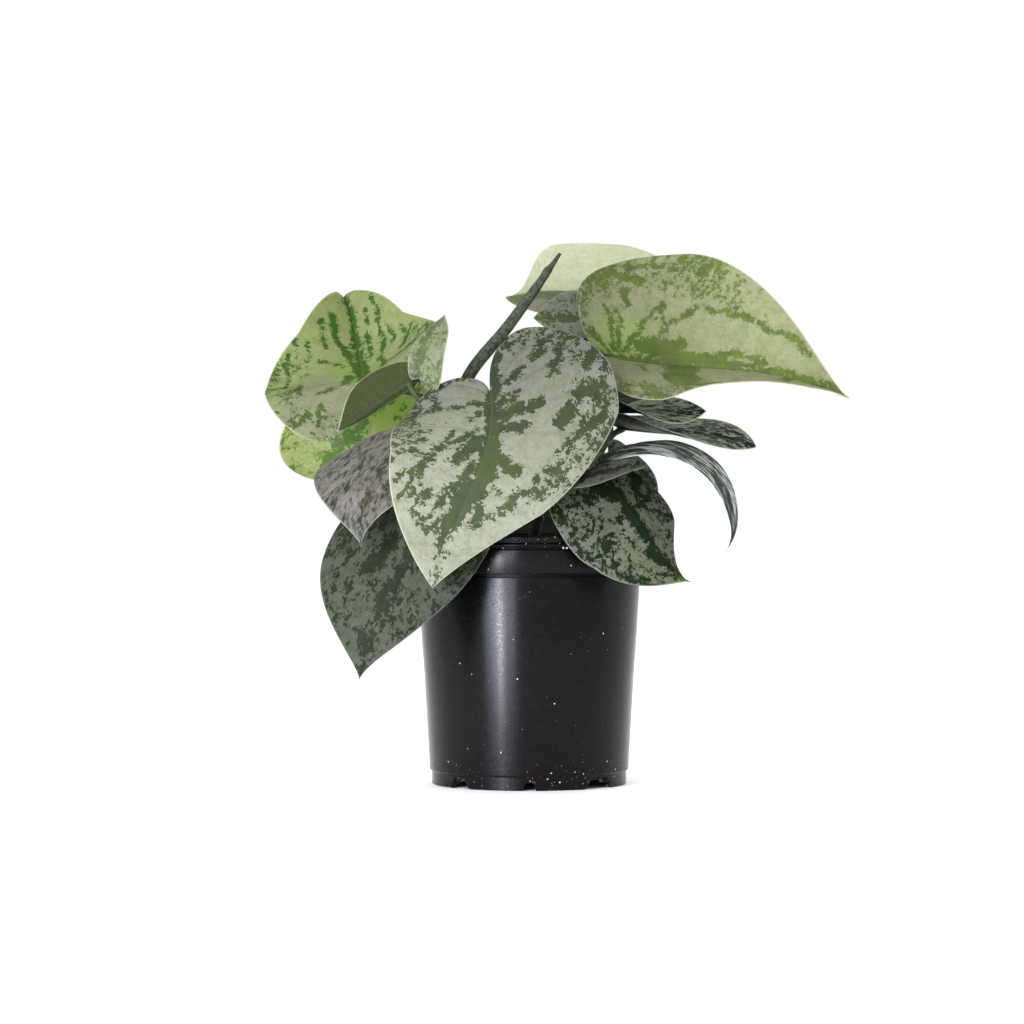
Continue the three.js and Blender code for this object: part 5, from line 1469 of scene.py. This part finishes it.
def soil_mound():
    """The filled inside of the pot: a lathe whose top is made uneven."""
    wall = 0.6 + POT_WALL + SOIL_GAP
    profile = [
        (PAD_RADIUS - POT_WALL - SOIL_GAP, PAD_TOP + SOIL_GAP),
        (PAD_RADIUS - POT_WALL - SOIL_GAP + PAD_SLOPE, POT_FLOOR_TOP + SOIL_GAP),
        (BODY_LOW_RADIUS - wall - 1.5, POT_FLOOR_TOP + SOIL_GAP),
        (BODY_LOW_RADIUS - wall, POT_FLOOR_TOP + 2.4),
        (BODY_TOP_RADIUS - wall, GROOVE_HEIGHT - 3),
    ]
    below = len(profile) * SOIL_SIDES
    for i in range(SOIL_RINGS):
        radius = SOIL_RADIUS * (1 - i / SOIL_RINGS)
        profile.append((radius, mound_height(radius)))
    vertices, faces = lathe(profile, SOIL_SIDES)
    for k in range(below, len(vertices)):
        x, y, z = vertices[k]
        bump = noise.fractal(Vector((x, y, 3)) / SOIL_GRAIN, 1.0, 2.2, 4) * SOIL_BUMP
        vertices[k, 2] = min(z + bump, POT_HEIGHT - SOIL_BELOW_RIM)
    vertices[-2] = (0, 0, PAD_TOP + SOIL_GAP)
    return vertices, faces


def crumb(random, centre, size, flat):
    """One rough crumb: a small ball of twenty faces with its corners pushed about."""
    ball = bmesh.new()
    bmesh.ops.create_icosphere(ball, subdivisions=1, radius=1.0)
    points = np.array([v.co for v in ball.verts])
    faces = [[v.index for v in f.verts] for f in ball.faces]
    ball.free()
    stretch = random.uniform(0.55, 1.3, 3) * (1, 1, flat)
    points = points * random.uniform(0.75, 1.2, (len(points), 1)) * stretch * size
    turn = np.array(Matrix.Rotation(random.uniform(0, 2 * math.pi), 3, "Z"))
    return points @ turn.T + centre, faces


def turned_about(radius, angle, height):
    """A place from its distance and angle about the pot's axis, and its height."""
    return radius * math.cos(angle), radius * math.sin(angle), height


def on_mound(random, size):
    """Centre of a crumb that lies on the mound."""
    radius = CRUMB_REACH * math.sqrt(random.uniform(0, 1))
    angle = random.uniform(0, 2 * math.pi)
    return turned_about(radius, angle, mound_height(radius) + 0.5 + 0.2 * size)


def in_notch(random, size):
    """Centre of a crumb that hangs in one of the wide drain notches."""
    i = 2 * random.integers(0, NOTCH_COUNT // 2)
    angle = math.radians(NOTCH_START + 360 * i / NOTCH_COUNT - 90)
    angle += random.uniform(-0.4, 0.4) * NOTCH_WIDTHS[i % len(NOTCH_WIDTHS)] / FOOT_RADIUS
    radius = FOOT_RADIUS - random.uniform(0.6, 2.6)
    return turned_about(radius, angle, random.uniform(3.6, 5.8))


def on_rim(random, size):
    """Centre of a grain that lies on the ledge below the lip."""
    angle = random.uniform(0, 2 * math.pi)
    return turned_about(BAND_RADIUS - 0.8, angle, BAND_TOP + 1.0 + 0.4 * size)


def scattered(name, count, sizes, flat, material, seed, spot=on_mound):
    """Crumbs strewn about, as one piece. flat is their height over their width."""
    random = np.random.default_rng(seed)
    vertices, faces = [], []
    for _ in range(count):
        size = random.uniform(*sizes)
        points, corners = crumb(random, np.array(spot(random, size)), size, flat)
        offset = len(points) * len(vertices)
        faces += [[i + offset for i in face] for face in corners]
        vertices.append(points)
    dress(new_piece(name, np.concatenate(vertices), faces, [material]), "soil")


def make_crumbs(soil):
    """Loose crumbs on the soil, and what has washed into the drain notches and onto the rim."""
    bark, perlite = bark_material(), perlite_material()
    scattered("soil_crumbs", 900, (0.7, 2.4), 0.7, soil, 3)
    scattered("soil_bark", 90, (2.0, 3.6), 0.45, bark, 4)
    scattered("soil_perlite", 60, (0.6, 1.5), 0.9, perlite, 5)
    scattered("washed_out_bark", 40, (0.5, 1.3), 0.6, bark, 6, in_notch)
    scattered("rim_perlite", 44, (0.3, 0.7), 0.9, perlite, 7, on_rim)


def plain_rough(name, low, high, size, roughness):
    """A rough natural surface between two colours, with grains of about size."""
    material, tree = new_material(name)
    grain = fog(tree, place_of(tree), size * MM, 5.0, 0.65)
    shader = principled(
        tree,
        {
            "Base Color": mixed(tree, step(tree, grain, -0.15, 0.15), linear(low), linear(high)),
            "Roughness": roughness,
            "Specular IOR Level": 0.2,
            "Normal": bumped(tree, grain, size),
        },
    )
    shown(tree, shader)
    return material


def soil_material():
    return plain_rough("potting_soil", "#17120f", "#3d2e24", 1.6, 0.95)


def bark_material():
    return plain_rough("bark_chips", "#3a2619", "#6b4a32", 2.4, 0.85)


def perlite_material():
    return plain_rough("perlite_grains", "#c9c6bd", "#eeece6", 0.9, 0.9)


# ---------------------------------------------------------------- stage, lights and camera
def make_stage():
    """A plain pale floor that runs out of sight."""
    material, tree = new_material("pale_floor")
    grain = step(tree, fog(tree, place_of(tree), 0.02, 2.0), -0.3, 0.3)
    colour = mixed(tree, grain, (0.87, 0.87, 0.87, 1), (0.91, 0.91, 0.91, 1))
    shown(tree, principled(tree, {"Base Color": colour, "Roughness": 0.9}))
    signs = ((-1, -1), (1, -1), (1, 1), (-1, 1))
    corners = [(x * FLOOR_REACH, y * FLOOR_REACH, -FLOOR_DROP) for x, y in signs]
    new_piece("floor", corners, [[0, 1, 2, 3]], [material])


def soft_box(name, place, aim, size, power, colour=(1, 1, 1), glossy=True, diffuse=True):
    """An area lamp, unseen by the camera. Places are in millimetres."""
    lamp = bpy.data.lights.new(name, "AREA")
    lamp.shape = "RECTANGLE"
    lamp.size, lamp.size_y = (side * MM for side in size)
    lamp.energy = power
    lamp.color = colour
    light = bpy.data.objects.new(name, lamp)
    light.location = Vector(place) * MM
    light.rotation_euler = (Vector(aim) * MM - light.location).to_track_quat("-Z", "Y").to_euler()
    light.visible_camera = False
    light.visible_glossy = glossy
    light.visible_diffuse = diffuse
    bpy.context.scene.collection.objects.link(light)


def make_lights():
    """An even white room, a soft key at the left, and a broad light behind that shines through leaves."""
    world = bpy.data.worlds.new("studio")
    bpy.context.scene.world = world
    world.use_nodes = True
    background = world.node_tree.nodes["Background"]
    background.inputs["Color"].default_value = (1.0, 1.0, 1.0, 1)
    background.inputs["Strength"].default_value = 1.0
    for name, lamp in LAMPS.items():
        soft_box(name, **lamp)
    sky = bpy.data.lights.new("ceiling", "SUN")
    sky.energy = CEILING_STRENGTH
    sky.angle = math.radians(CEILING_SPREAD)
    bpy.context.scene.collection.objects.link(bpy.data.objects.new("ceiling", sky))


def make_camera():
    """A level camera in front of the plant."""
    data = bpy.data.cameras.new("camera")
    data.sensor_width = SENSOR_WIDTH
    data.lens = FOCAL_PIXELS / FRAME_PIXELS * SENSOR_WIDTH
    data.clip_start, data.clip_end = NEAREST * MM, FURTHEST * MM
    camera = bpy.data.objects.new("camera", data)
    camera.location = Vector(CAMERA_PLACE) * MM
    camera.rotation_euler = (math.pi / 2, 0, 0)
    bpy.context.scene.collection.objects.link(camera)
    bpy.context.scene.camera = camera


bpy.context.scene.view_settings.view_transform = "Standard"
make_camera()
make_stage()
make_lights()
make_pot()
make_soil()
make_vines()
make_leaves()
